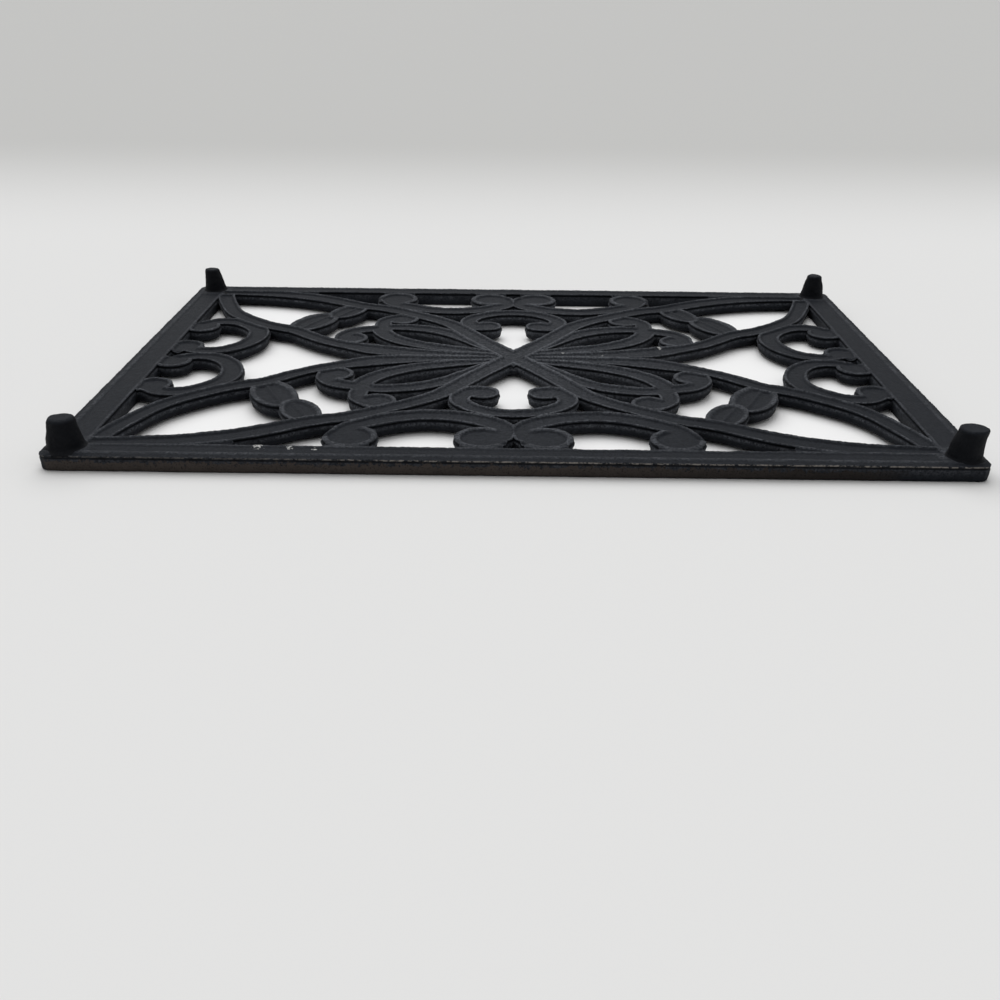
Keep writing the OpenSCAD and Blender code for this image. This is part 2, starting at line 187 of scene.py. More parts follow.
class TrivetCastingSettings(PropertyGroup):
    band_width: FloatProperty(
        name="Band width", description="Width of a band where its width share is 1",
        default=7.6 * MM, unit="LENGTH")
    rim_width: FloatProperty(
        name="Rim width", description="Width of the rim along each side of a band",
        default=1.3 * MM, unit="LENGTH")
    relief: FloatProperty(
        name="Relief", description="Depth of the channel between the rims",
        default=0.8 * MM, unit="LENGTH")
    fillet: FloatProperty(
        name="Fillet", description="How far the metal runs together where bands meet",
        default=1.1 * MM, unit="LENGTH")
    edge_round: FloatProperty(
        name="Edge rounding", description="Rounding of the upper edges",
        default=0.35 * MM, unit="LENGTH")
    step_in: FloatProperty(
        name="Step", description="How far the wall steps in below the upper edge",
        default=0.5 * MM, unit="LENGTH")
    ledge: FloatProperty(
        name="Ledge", description="How far the wall stands out below the step",
        default=0.22 * MM, unit="LENGTH")
    wall_foot: FloatProperty(
        name="Wall foot", description="Height at which a band's wall begins to round under",
        default=2.3 * MM, unit="LENGTH")
    cell: FloatProperty(
        name="Cell", description="Side of a cell of the skin",
        default=0.42 * MM, unit="LENGTH")
    fine_grain: FloatProperty(
        name="Fine grain", description="Height of the fine grain of the casting",
        default=0.16 * MM, unit="LENGTH")
    coarse_grain: FloatProperty(
        name="Coarse grain", description="Height of the slow waves of the casting",
        default=0.18 * MM, unit="LENGTH")
    fine_size: FloatProperty(
        name="Fine grain size", description="Width of a grain of the fine grain",
        default=0.9 * MM, unit="LENGTH")
    coarse_size: FloatProperty(
        name="Coarse grain size", description="Width of a slow wave of the casting",
        default=7 * MM, unit="LENGTH")
    seed: IntProperty(name="Seed", description="Seed of the casting's grain", default=7)


class TrivetFootSettings(PropertyGroup):
    base_radius: FloatProperty(
        name="Base radius", description="Radius at the plate, without the fillet",
        default=4.6 * MM, unit="LENGTH")
    tip_radius: FloatProperty(
        name="Tip radius", description="Radius at the tip", default=3.4 * MM, unit="LENGTH")
    lean: FloatProperty(
        name="Lean", description="How far the tip leans outwards across the trivet",
        default=0.3 * MM, unit="LENGTH")
    dents: FloatProperty(
        name="Dents", description="Depth of the dents in the sides",
        default=0.5 * MM, unit="LENGTH")
    dent_size: FloatProperty(
        name="Dent size", description="Width of a dent", default=3.5 * MM, unit="LENGTH")
    fillet: FloatProperty(
        name="Fillet", description="Radius with which a foot flows into the plate",
        default=1.6 * MM, unit="LENGTH")


class TrivetFinishSettings(PropertyGroup):
    paint: FloatVectorProperty(
        name="Paint", description="Matte paint in the channels",
        default=(0.0105, 0.0128, 0.0175), size=3, subtype="COLOR")
    # The rims' lighter colour is partly dust and wear and partly painted highlight where the rims and the
    # edges catch the light.
    rim: FloatVectorProperty(
        name="Rim", description="Paint on the rims, lightened by dust and wear",
        default=(0.105, 0.112, 0.127), size=3, subtype="COLOR")
    # This black serves both for the random pits and for the painted shade under the edges, on the walls
    # and on the undersides.
    pit_and_shade: FloatVectorProperty(
        name="Pit", description="Black in the pits and under the edges",
        default=(0.002, 0.002, 0.0025), size=3, subtype="COLOR")
    bare: FloatVectorProperty(
        name="Bare edge", description="Metal that shows along the outer ridge",
        default=(0.26, 0.24, 0.22), size=3, subtype="COLOR")
    scuff: FloatVectorProperty(
        name="Scuff", description="White of the small scuffs",
        default=(0.5, 0.5, 0.49), size=3, subtype="COLOR")
    flank: FloatVectorProperty(
        name="Flank", description="Brown of the lower outer side",
        default=(0.06, 0.05, 0.045), size=3, subtype="COLOR")
    gloss: FloatProperty(name="Gloss", description="Specular level of the paint", default=0.1)


class TrivetStageSettings(PropertyGroup):
    floor: FloatVectorProperty(
        name="Floor", description="Colour of the floor",
        default=(0.775, 0.775, 0.77), size=3, subtype="COLOR")
    # The far floor's darker colour is painted shade, standing for a backdrop that is lit less than the
    # floor.
    far_floor_shade: FloatVectorProperty(
        name="Far floor", description="Colour that the floor fades to behind the trivet",
        default=(0.55, 0.55, 0.54), size=3, subtype="COLOR")
    # A painted pool of light: the floor in the openings is lighter than the floor round the trivet.
    lit_opening_floor: FloatVectorProperty(
        name="Clean floor", description="Colour of the floor that shows through the openings",
        default=(0.92, 0.92, 0.92), size=3, subtype="COLOR")
    sun: FloatProperty(name="Sun", description="Strength of the soft light from behind", default=1.6)
    sky: FloatProperty(name="Sky", description="Strength of the light from all around", default=0.69)
    lens: FloatProperty(name="Lens", description="Focal length of the camera", default=39.1)


def millimetres(settings, *names):
    return [getattr(settings, name) / MM for name in names]


def smooth_step(low, high, value):
    t = np.clip((value - low) / (high - low), 0, 1)
    return t * t * (3 - 2 * t)


def smooth_max(values, reach):
    """The largest of several depths, filled in by a fillet where two come close."""
    result = values[0]
    for value in values[1:]:
        overlap = np.clip(reach - np.abs(result - value), 0, None) / reach
        result = np.maximum(result, value) + overlap ** 2 * reach / 4
    return result


def smooth_line(rows, band_width, steps=LINE_STEPS):
    """A centreline's rows as places with a width, joined by a smooth curve."""
    rows = np.array(rows, float) * (FIELD_L, FIELD_W, band_width)
    padded = np.vstack([2 * rows[0] - rows[1], rows, 2 * rows[-1] - rows[-2]])
    line = []
    for a, b, c, d in zip(padded, padded[1:], padded[2:], padded[3:]):
        for t in np.arange(steps) / steps:
            line.append((2 * b + (c - a) * t + (2 * a - 5 * b + 4 * c - d) * t ** 2
                         + (3 * b - 3 * c + d - a) * t ** 3) / 2)
    return np.array(line + [rows[-1]])


def band_depth(x, y, line):
    """How deep each place lies inside a band along line."""
    depth = np.full(x.shape, -1e3)
    for a, b in zip(line, line[1:]):
        run = b[:2] - a[:2]
        t = np.clip(((x - a[0]) * run[0] + (y - a[1]) * run[1]) / (run @ run), 0, 1)
        away = np.hypot(x - a[0] - t * run[0], y - a[1] - t * run[1])
        depth = np.maximum(depth, (a[2] + t * (b[2] - a[2])) / 2 - away)
    return depth


class Plan:
    """The outlines of one quarter, as the depth of a place inside each of them."""

    eye_radii = {"long": 8.0, "end": 6.4, "middle": 5.3, "curl": 6.2}
    long_eye_bite = 0.5
    end_eye_bite = 2.9
    eye_root_w = 12.6
    boss_r = 8.8
    leaf_w = 14.2
    small_leaf_w = 12.0
    corner_r = 3.2
    web_share = 0.955
    into_rail = 1.0

    def __init__(self, band_width, fillet):
        self.fillet = fillet
        self.lines = {
            name: smooth_line(rows, band_width) for name, rows in CENTRELINE_SHARES.items()
        }
        r = self.eye_radii
        self.eyes = {
            "long_scroll": [((s * FIELD_L, FIELD_W - r["long"] + self.long_eye_bite), r["long"])
                            for s in LONG_EYE_SHARES],
            "end_scroll": [((FIELD_L - r["end"] + self.end_eye_bite, s * FIELD_W), r["end"])
                           for s in END_EYE_SHARES],
            "middle_scroll": [((MIDDLE_EYE_SHARE[0] * FIELD_L, MIDDLE_EYE_SHARE[1] * FIELD_W),
                               r["middle"])],
            "petal": [((s[0] * FIELD_L, s[1] * FIELD_W), r["curl"]) for s in CURL_EYE_SHARES],
        }

    def eye(self, x, y, at, radius):
        return radius - np.hypot(x - at[0], y - at[1])

    def root(self, x, y, at):
        beside = self.eye_root_w / 2 - np.abs(x - at[0])
        return np.where(y > at[1], np.minimum(beside, FIELD_W + self.into_rail - y), -1e3)

    def web(self, x, y):
        """Depth inside the web that closes the gap between a corner arc and the rail."""
        (ax, ay), (bx, by) = np.array(ARC_WEB_SHARES) * (FIELD_L, FIELD_W)
        beside = ((x - ax) * (by - ay) - (y - ay) * (bx - ax)) / math.hypot(bx - ax, by - ay)
        behind = y - self.web_share * FIELD_W
        return np.minimum(np.minimum(beside, behind), -self.rail_in(x, y) + self.into_rail)

    def leaf(self, x, y, tips, width):
        ends = np.array(tips) * (FIELD_L, FIELD_W)
        middle = ends.mean(0)
        run = ends[1] - ends[0]
        length = np.hypot(*run)
        u = ((x - middle[0]) * run[0] + (y - middle[1]) * run[1]) / length
        v = ((y - middle[1]) * run[0] - (x - middle[0]) * run[1]) / length
        a, b = length / 2, width / 2
        k = np.maximum(np.hypot(u / a, v / b), 1e-3)
        return (1 - k) * k / np.hypot(u / a ** 2, v / b ** 2), u / a, v

    def leaves(self, x, y):
        return [self.leaf(x, y, LEAF_SHARES, self.leaf_w),
                self.leaf(x, y, SMALL_LEAF_SHARES, self.small_leaf_w)]

    def rail_out(self, x, y):
        """Depth inside the outer edge of the rail, with its round corners."""
        over_x = x - (BODY_L / 2 - self.corner_r)
        over_y = y - (BODY_W / 2 - self.corner_r)
        round_part = np.hypot(np.maximum(over_x, 0), np.maximum(over_y, 0))
        return self.corner_r - round_part - np.minimum(np.maximum(over_x, over_y), 0)

    def rail_in(self, x, y):
        """How far a place lies outside the field, towards the rail's outer edge."""
        return np.maximum(x - FIELD_L, y - FIELD_W)

    def rail(self, x, y):
        return np.minimum(self.rail_out(x, y), self.rail_in(x, y))

    def band(self, name, x, y):
        return band_depth(x, y, self.lines[name])

    def piece(self, name, x, y):
        """Depth inside one kind of piece, before it gives way to its neighbours."""
        if name == "boss":
            return self.boss_r - np.hypot(x, y)
        if name == "leaves":
            return np.maximum(*[leaf[0] for leaf in self.leaves(x, y)])
        if name == "petal":
            bands = PETAL_BANDS
        else:
            bands = [name]
        depths = [self.band(band, x, y) for band in bands]
        if name == "middle_scroll":
            depths.append(self.band(name, -x, y))
        if name == "front_line":
            depths.append(self.web(x, y))
        depths += [self.eye(x, y, at, radius) for at, radius in self.eyes.get(name, [])]
        if name == "long_scroll":
            depths += [self.root(x, y, at) for at, radius in self.eyes[name]]
        return functools.reduce(np.maximum, depths)

    def outline(self, x, y):
        """Depth inside the whole casting, with a fillet wherever pieces meet."""
        depths = [self.rail(x, y)]
        for name in ("boss", "front_line", "end_line", "petal", "leaves", "long_scroll",
                     "end_scroll", "middle_scroll"):
            depths.append(self.piece(name, x, y))
        depths += [self.piece("end_line", x, -y), self.piece("end_scroll", x, -y),
                   self.piece("long_scroll", -x, y)]
        return smooth_max(depths, self.fillet)


class Relief:
    """Heights of the two sides of the casting over the plan."""

    margin_w = 2.2
    margin_drop = 0.5
    bead_w = 0.9
    rail_relief = 0.35
    rail_rim_w = 1.2
    face_chamfer = 0.6
    rail_wall_foot = 0.5
    dome_w = 3.4
    foot_pad_r = 9.0

    def __init__(self, plan, rim_width, relief, wall_foot):
        self.plan = plan
        self.rim = rim_width
        self.relief = relief
        self.wall_foot = wall_foot

    def outside(self, depth):
        """1 outside a piece, and 0 from the middle of its rim inwards."""
        return 1 - smooth_step(-0.5 * self.rim, 0.3 * self.rim, depth)

    def band_drop(self, depth):
        """How far a band lies below its rims: outside it, on a rim, and in its channel."""
        channel = smooth_step(0.6 * self.rim, 1.35 * self.rim, depth)
        return self.relief * np.maximum(self.outside(depth), channel)

    def dish_drop(self, depth, radius):
        """The ring and the dish of an eye."""
        shoulder = 0.3 * (1 - smooth_step(0, 0.19 * radius, depth))
        dish = smooth_step(0.2 * radius, 0.36 * radius, depth)
        return self.relief * np.maximum(np.maximum(self.outside(depth), shoulder), 1.15 * dish)

    def leaf_drop(self, depth, along, off_rib, half_width):
        """The dish of a leaf and the rib along its middle."""
        dish = smooth_step(0.16 * half_width, 0.5 * half_width, depth)
        rib = np.exp(-(off_rib / (0.5 * self.rim)) ** 2) * smooth_step(1.0, 0.6, np.abs(along))
        return self.relief * np.maximum(self.outside(depth), dish * (1 - 0.55 * rib))

    def rail_drop(self, x, y):
        """The margin, the bead and the shallow channel of the rail."""
        out = self.plan.rail_out(x, y)
        inside = self.plan.rail_in(x, y)
        margin = self.margin_drop * np.clip(1 - out / self.margin_w, 0, 1)
        channel = self.rail_relief * smooth_step(self.margin_w + 0.6 * self.bead_w,
                                                 self.margin_w + 1.6 * self.bead_w, out)
        channel = channel * smooth_step(0.6 * self.rail_rim_w, 1.6 * self.rail_rim_w, inside)
        pad = np.hypot(x - FOOT_AT.x, y - FOOT_AT.y)
        channel = channel * smooth_step(0.6 * self.foot_pad_r, self.foot_pad_r, pad)
        before = self.relief * (1 - smooth_step(-0.5 * self.rim, 0.2 * self.rim, inside))
        return margin + channel + before

    def lay_band(self, lowest, depth):
        """Lays a band over what lies below it: its rims stand up and its channel cuts through."""
        drop = self.band_drop(depth)
        return np.where(depth > 0.3 * self.rim, drop, np.minimum(lowest, drop))

    def lay_eye(self, lowest, x, y, eye, opening):
        """Lays the ring and the dish of an eye, which is open where its band runs into it."""
        at, radius = eye
        middle, half = opening
        depth = self.plan.eye(x, y, at, radius)
        angle = np.degrees(np.arctan2(y - at[1], x - at[0]))
        off = np.abs((angle - middle + 180) % 360 - 180)
        shut = smooth_step(half - 10, half + 14, off)
        inside = depth > 0.19 * radius
        dish = self.dish_drop(depth, radius)
        ring = np.where(inside, dish, np.minimum(lowest, dish))
        opened = np.where(inside, np.maximum(dish, self.relief), lowest)
        return ring * shut + opened * (1 - shut)

    def drop(self, x, y):
        """How far the foot side lies below the level of the rims. Later pieces lie over earlier ones."""
        plan = self.plan
        lowest = self.lay_band(np.full(x.shape, self.relief), plan.piece("middle_scroll", x, y))
        for name, sides in (("end_scroll", (1, -1)), ("long_scroll", (-1, 1))):
            for side in sides:
                mirrored = (x, y * side) if name == "end_scroll" else (x * side, y)
                lowest = self.lay_band(lowest, plan.band(name, *mirrored))
            for eye, opening in zip(plan.eyes[name], EYE_OPENINGS[name]):
                lowest = self.lay_eye(lowest, x, y, eye, opening)
        for (depth, along, off_rib), width in zip(plan.leaves(x, y), (plan.leaf_w, plan.small_leaf_w)):
            dish = self.leaf_drop(depth, along, off_rib, width / 2)
            lowest = np.where(depth > 0.16 * width / 2, dish, np.minimum(lowest, dish))
        bands = [plan.band(name, x, y) for name in PETAL_BANDS]
        lowest = self.lay_band(lowest, functools.reduce(np.maximum, bands))
        for eye, opening in zip(plan.eyes["petal"], EYE_OPENINGS["petal"]):
            lowest = self.lay_eye(lowest, x, y, eye, opening)
        for sx, sy in ((-1, 1), (1, -1), (1, 1)):
            lowest = self.lay_band(lowest, plan.band("end_line", sx * x, sy * y))
        arms = [plan.band("front_line", sx * x, sy * y) for sx, sy in QUARTERS.values()]
        lowest = self.lay_band(lowest, functools.reduce(np.maximum, arms))
        rail = self.rail_drop(x, y)
        return np.where(plan.rail_in(x, y) > 0, rail, np.minimum(lowest, rail))

    def rail_share(self, x, y):
        """0 on the bands, 1 on the rail, and between them where a band runs into it."""
        return smooth_step(-0.6, 0.4, self.plan.rail_in(x, y))

    def foot_of_wall(self, x, y):
        """Height at which the wall ends and the decorated side begins."""
        outer = self.face_chamfer
        rail = np.where(self.plan.rail_out(x, y) < 3 * self.margin_w / 2, outer, self.rail_wall_foot)
        return self.wall_foot + (rail - self.wall_foot) * self.rail_share(x, y)

    def under(self, x, y, depth):
        """Height of the decorated side."""
        t = np.clip(depth / self.dome_w, 0, 1)
        band = LIFT + (self.wall_foot - LIFT) * (1 - np.sqrt(1 - (1 - t) ** 2))
        out = self.plan.rail_out(x, y)
        inside = self.plan.rail_in(x, y)
        rail = np.maximum(self.face_chamfer - out, self.rail_wall_foot - inside)
        share = self.rail_share(x, y)
        return band * (1 - share) + np.clip(rail, 0, None) * share


def plan_grid(cell):
    """A grid of triangles over the quarter."""
    nx, ny = round(BODY_L / 2 / cell), round(BODY_W / 2 / cell)
    x, y = np.meshgrid(np.linspace(0, BODY_L / 2, nx + 1), np.linspace(0, BODY_W / 2, ny + 1))
    points = np.column_stack([x.ravel(), y.ravel()])
    i, j = np.meshgrid(np.arange(nx), np.arange(ny))
    a = (j * (nx + 1) + i).ravel()
    b, c, d = a + 1, a + nx + 2, a + nx + 1
    rising = ((i + j) % 2 == 0).ravel()
    first = np.where(rising[:, None], np.column_stack([a, b, c]), np.column_stack([a, b, d]))
    second = np.where(rising[:, None], np.column_stack([a, c, d]), np.column_stack([b, c, d]))
    return points, np.vstack([first, second])


def gradient(field, points, step=0.02):
    x, y = points.T
    along_x = field(x + step, y) - field(x - step, y)
    along_y = field(x, y + step) - field(x, y - step)
    return np.column_stack([along_x, along_y]) / (2 * step)


def settle(points, chosen, field, rounds=3):
    """Moves the chosen points onto the line where field is zero. A point on an axis stays on it."""
    spots = points[chosen]
    on_axis = np.abs(spots) < 1e-9
    for _ in range(rounds):
        slope = gradient(field, spots)
        slope[on_axis] = 0
        length = np.maximum((slope ** 2).sum(1), 0.05)
        spots = spots - slope * (field(*spots.T) / length)[:, None]
    points[chosen] = spots


def cut(points, tris, value):
    """Parts triangles along the line where value is zero: the points, and the two sides."""
    inside = value > 0
    count = inside[tris].sum(1)
    mixed = tris[(count == 1) | (count == 2)]
    lone_is_in = count[(count == 1) | (count == 2)] == 1
    turn = np.argmax(inside[mixed] == lone_is_in[:, None], axis=1)
    order = (turn[:, None] + np.arange(3)) % 3
    a, b, c = np.take_along_axis(mixed, order, 1).T
    ends = np.sort(np.vstack([np.column_stack([a, b]), np.column_stack([a, c])]), axis=1)
    edges, which = np.unique(ends, axis=0, return_inverse=True)
    which = which.ravel()
    v0, v1 = value[edges[:, 0]], value[edges[:, 1]]
    t = (v0 / (v0 - v1))[:, None]
    made = points[edges[:, 0]] * (1 - t) + points[edges[:, 1]] * t
    index = len(points) + np.arange(len(edges))
    index = np.where(v0 == 0, edges[:, 0], np.where(v1 == 0, edges[:, 1], index))
    ab, ac = index[which[:len(a)]], index[which[len(a):]]
    tips = np.column_stack([a, ab, ac])
    rests = np.vstack([np.column_stack([ab, b, c]), np.column_stack([ab, c, ac])])
    twice = np.concatenate([lone_is_in, lone_is_in])
    sides = []
    for side in (True, False):
        whole = tris[count == (3 if side else 0)]
        parts = np.vstack([whole, tips[lone_is_in == side], rests[twice != side]])
        real = (parts[:, 0] != parts[:, 1]) & (parts[:, 1] != parts[:, 2]) & (parts[:, 2] != parts[:, 0])
        sides.append(parts[real])
    return np.vstack([points, made]), sides[0], sides[1]


def weld(points):
    """The first point at each place, and the number of the place at which each point lies."""
    _, first, index = np.unique(
        np.round(points * WELD_STEPS).astype(np.int64), axis=0, return_index=True, return_inverse=True)
    return first, index.ravel()


def compact(points, tris):
    """Welds points at one place, and leaves out points without a triangle."""
    first, index = weld(points)
    tris = first[index[tris]]
    used, index = np.unique(tris, return_inverse=True)
    return points[used], index.reshape(-1, 3)


def line_cut(plan, name, row):
    """A field that is positive before the given row of a centreline."""
    line = plan.lines[name]
    i = row * LINE_STEPS
    along = line[i + 1][:2] - line[i - 1][:2]
    return lambda x, y: -((x - line[i][0]) * along[0] + (y - line[i][1]) * along[1])


def plan_mesh(plan, cell, edge_round):
    """The flat mesh of the quarter inside its outline, and the kind of piece of each triangle."""
    field = lambda x, y: plan.outline(x, y) - edge_round
    points, tris = plan_grid(cell)
    value = field(*points.T)
    near = np.abs(value) < 0.3 * cell
    settle(points, near, field)
    value = field(*points.T)
    value[near] = 0
    count = len(points)
    points, tris, _ = cut(points, tris, value)
    fresh = np.arange(len(points)) >= count
    settle(points, fresh, field)
    points, tris = compact(points, tris)
    tris = tris[(tris != np.roll(tris, 1, axis=1)).all(1)]
    kinds = []
    for name, axis, edge in (("long_rail", 1, FIELD_W), ("end_rail", 0, FIELD_L)):
        points, own, tris = cut(points, tris, points[:, axis] - edge)
        kinds.append((name, own))
    lip = plan.fillet / 2
    for name in ("boss", "front_line", "end_line", "petal", "leaves", "long_scroll", "end_scroll"):
        points, own, tris = cut(points, tris, plan.piece(name, *points.T) + lip)
        kinds.append((name, own))
    kinds.append(("middle_scroll", tris))
    named = []
    for name, own in kinds:
        if name == "front_line":
            points, inner, outer = cut(points, own, line_cut(plan, name, FRONT_LINE_SPLIT)(*points.T))
            named += [("arm", inner), ("arc", outer)]
        elif name == "end_line":
            points, inner, outer = cut(points, own, line_cut(plan, name, END_LINE_SPLIT)(*points.T))
            named += [("wing", inner), ("end_arc", outer)]
        else:
            named.append((name, own))
    all_tris = np.vstack([own for _, own in named])
    kind_of = np.concatenate([np.full(len(own), k) for k, (_, own) in enumerate(named)])
    points, all_tris = unpinch(*compact(points, all_tris))
    return points, all_tris, kind_of, [name for name, _ in named]


def rim_edges(tris):
    """Directed edges that only one triangle has, and the triangle of each."""
    edges = np.vstack([tris[:, [0, 1]], tris[:, [1, 2]], tris[:, [2, 0]]])
    owner = np.tile(np.arange(len(tris)), 3)
    size = tris.max() + 1
    forward = edges[:, 0] * size + edges[:, 1]
    backward = edges[:, 1] * size + edges[:, 0]
    alone = ~np.isin(forward, backward)
    return edges[alone], owner[alone]


def unpinch(points, tris):
    """Gives each side a point of its own where two sides of the casting touch at one."""
    starts, counts = np.unique(rim_edges(tris)[0][:, 0], return_counts=True)
    for spot in starts[counts > 1]:
        around = np.flatnonzero((tris == spot).any(1))
        fan = tris[around[:1]]
        for _ in around:
            beside = np.setdiff1d(fan, [spot])
            own = around[np.isin(tris[around], beside).any(1)]
            fan = tris[own]
        apart = points[fan].mean((0, 1)) - points[spot]
        points = np.vstack([points, points[spot] + 0.02 * apart / np.hypot(*apart)])
        tris[own] = np.where(fan == spot, len(points) - 1, fan)
    return points, tris


# Depths on a wall below the rounded edge, in millimetres: where the step turns in, is in, stays in,
# turns out and is out again, and where the ledge below it ends. The draft is that of the wall below.
STEP_DEPTHS = (0.12, 0.28, 0.5, 0.72, 0.95)
LEDGE_DEPTH = 1.3
WALL_DRAFT = 0.4


def quarter_shell(settings):
    """The closed skin of one quarter, apart from where the axes cut it."""
    width, rim, relief, fillet, edge_round, step_in, ledge, wall_foot, cell = millimetres(
        settings, "band_width", "rim_width", "relief", "fillet", "edge_round", "step_in", "ledge",
        "wall_foot", "cell")
    plan = Plan(width, fillet)
    shape = Relief(plan, rim, relief, wall_foot)
    points, tris, kind_of, kinds = plan_mesh(plan, cell, edge_round + ledge)
    x, y = points.T
    depth = plan.outline(x, y)
    drop = shape.drop(x, y)
    top = np.column_stack([x, y, PLATE_T - drop])
    under = np.column_stack([x, y, shape.under(x, y, depth)])
    edges, owner = rim_edges(tris)
    ends = points[edges]
    free = ~((np.abs(ends[:, :, 0]) < 1e-6).all(1) | (np.abs(ends[:, :, 1]) < 1e-6).all(1))
    edges, owner = edges[free], owner[free]
    rim_points, local = np.unique(edges, return_inverse=True)
    local = local.reshape(-1, 2)
    spots = points[rim_points]
    outward = -gradient(plan.outline, spots)
    outward[np.abs(spots) < 1e-6] = 0
    outward /= np.linalg.norm(outward, axis=1)[:, None]
    z_top = top[rim_points, 2]
    z_low = under[rim_points, 2]
    z_foot = shape.foot_of_wall(*spots.T)
    z_wall = z_top - edge_round
    outer = (plan.rail_out(*spots.T) < 1).astype(float)
    edge = edge_round + ledge * outer
    wall = edge_round + ledge
    step = step_in * (1 - 0.7 * outer)
    draft = WALL_DRAFT * (1 - 0.5 * outer)
    low = z_wall - LEDGE_DEPTH + 0.2 * outer
    # Each row of the wall: how far out it lies, its height, its share of the rims' lighter colour (painted
    # highlight where the edge and the ledge catch the light) and its share of painted shade
    rows = []
    for angle, rim_part, painted_shade in ((30, 0.95, 0), (60, 0.8, 0), (90, 0.4, 0.3)):
        turn = math.radians(angle)
        rows.append((edge - edge_round * (1 - math.sin(turn)), z_top - edge_round * (1 - math.cos(turn)),
                     rim_part, painted_shade))
    turns_in, is_in, stays_in, turns_out, is_out = STEP_DEPTHS
    rows += [
        (edge - 0.1 * step, z_wall - turns_in, 0, 0.9), (edge - step, z_wall - is_in, 0, 1),
        (edge - step, z_wall - stays_in, 0, 1), (wall - 0.4 * step, z_wall - turns_out, 0.7, 0.3),
        (wall, z_wall - is_out, 1, 0), (wall, low, 0.9, 0),
    ]
    for share in (0.5, 1):
        rows.append((wall - draft * share, low + (z_foot - low) * share, 0.8 - 0.4 * share, 0.3 * share))
    for share in (0.35, 0.7):
        rows.append(((wall - draft) * (1 - share ** 2), z_foot + (z_low - z_foot) * share, 0, 0.6))
    count, ring = len(points), len(rim_points)
    walls = [np.column_stack([np.maximum(spots + outward * np.reshape(out, (-1, 1)), 0.3 * spots), z])
             for out, z, _, _ in rows]
    index = [rim_points] + [2 * count + k * ring + np.arange(ring) for k in range(len(rows))]
    index.append(count + rim_points)
    verts = np.vstack([top, under] + walls)
    faces, face_kind = [tris, tris[:, ::-1] + count], [kind_of, kind_of]
    for upper, lower in zip(index, index[1:]):
        a, b = upper[local[:, 0]], upper[local[:, 1]]
        c, d = lower[local[:, 1]], lower[local[:, 0]]
        faces += [np.column_stack([a, d, c]), np.column_stack([a, c, b])]
        face_kind += [kind_of[owner]] * 2
    rim_and_highlight, painted_shade = np.zeros(len(verts)), np.zeros(len(verts))
    full_drop = np.where(plan.rail_in(x, y) > 0, shape.rail_relief, relief)
    rim_and_highlight[:count] = 1 - np.clip(drop / full_drop, 0, 1)
    # Painted shade: the decorated side, which faces the floor, is darkened, as are the wall rows under the
    # step and towards the floor.
    painted_shade[count:2 * count] = 0.6
    # On the wall rows the rims' lighter colour is painted highlight where the rounded edge and the ledge
    # catch the light.
    rim_and_highlight[2 * count:] = np.repeat([row[2] for row in rows], ring)
    painted_shade[2 * count:] = np.repeat([row[3] for row in rows], ring)
    return {
        "verts": verts, "faces": np.vstack(faces), "kind": np.concatenate(face_kind),
        "kinds": kinds, "plan_count": count, "rim": rim_and_highlight, "painted_shade": painted_shade,
    }


def mirror_quarters(shell):
    """The whole skin, welded along the axes, and the quarter of each face."""
    verts, faces, kinds, quarters, twins = [], [], [], [], []
    count = len(shell["verts"])
    n = shell["plan_count"]
    for k, (sx, sy) in enumerate(QUARTERS.values()):
        verts.append(shell["verts"] * (sx, sy, 1))
        own = shell["faces"] if sx * sy > 0 else shell["faces"][:, ::-1]
        faces.append(own + k * count)
        kinds.append(shell["kind"])
        quarters.append(np.full(len(own), k))
        twins.append(np.column_stack([np.arange(n), np.arange(n) + n]) + k * count)
    verts, faces = np.vstack(verts), np.vstack(faces)
    first, index = weld(verts)
    twin = np.full(len(first), -1)
    pairs = index[np.vstack(twins)]
    twin[pairs[:, 0]] = pairs[:, 1]
    return {
        "verts": verts[first], "faces": index[faces], "kind": np.concatenate(kinds),
        "quarter": np.concatenate(quarters), "twin": twin,
        "rim": np.tile(shell["rim"], 4)[first], "painted_shade": np.tile(shell["painted_shade"], 4)[first],
    }


def mesh_from_arrays(name, verts, faces):
    mesh = bpy.data.meshes.new(name)
    mesh.vertices.add(len(verts))
    mesh.vertices.foreach_set("co", np.ascontiguousarray(verts, np.float32).ravel())
    mesh.loops.add(3 * len(faces))
    mesh.loops.foreach_set("vertex_index", np.ascontiguousarray(faces, np.int32).ravel())
    mesh.polygons.add(len(faces))
    mesh.polygons.foreach_set("loop_start", np.arange(0, 3 * len(faces), 3, dtype=np.int32))
    mesh.update(calc_edges=True)
    return mesh


def set_attribute(mesh, name, values):
    attribute = mesh.attributes.new(name, "FLOAT", "POINT")
    attribute.data.foreach_set("value", np.ascontiguousarray(values, np.float32))


class Nodes:
    """Adds nodes to a tree and links them."""

    def __init__(self, tree):
        self.tree = tree

    def add(self, kind, inputs=(), **values):
        node = self.tree.nodes.new(kind)
        for name, value in values.items():
            setattr(node, name, value)
        for key, value in dict(inputs).items():
            if isinstance(value, bpy.types.NodeSocket):
                self.tree.links.new(value, node.inputs[key])
            else:
                node.inputs[key].default_value = value
        return node

    def math(self, operation, a, b=0.0):
        return self.add("ShaderNodeMath", {0: a, 1: b}, operation=operation).outputs[0]


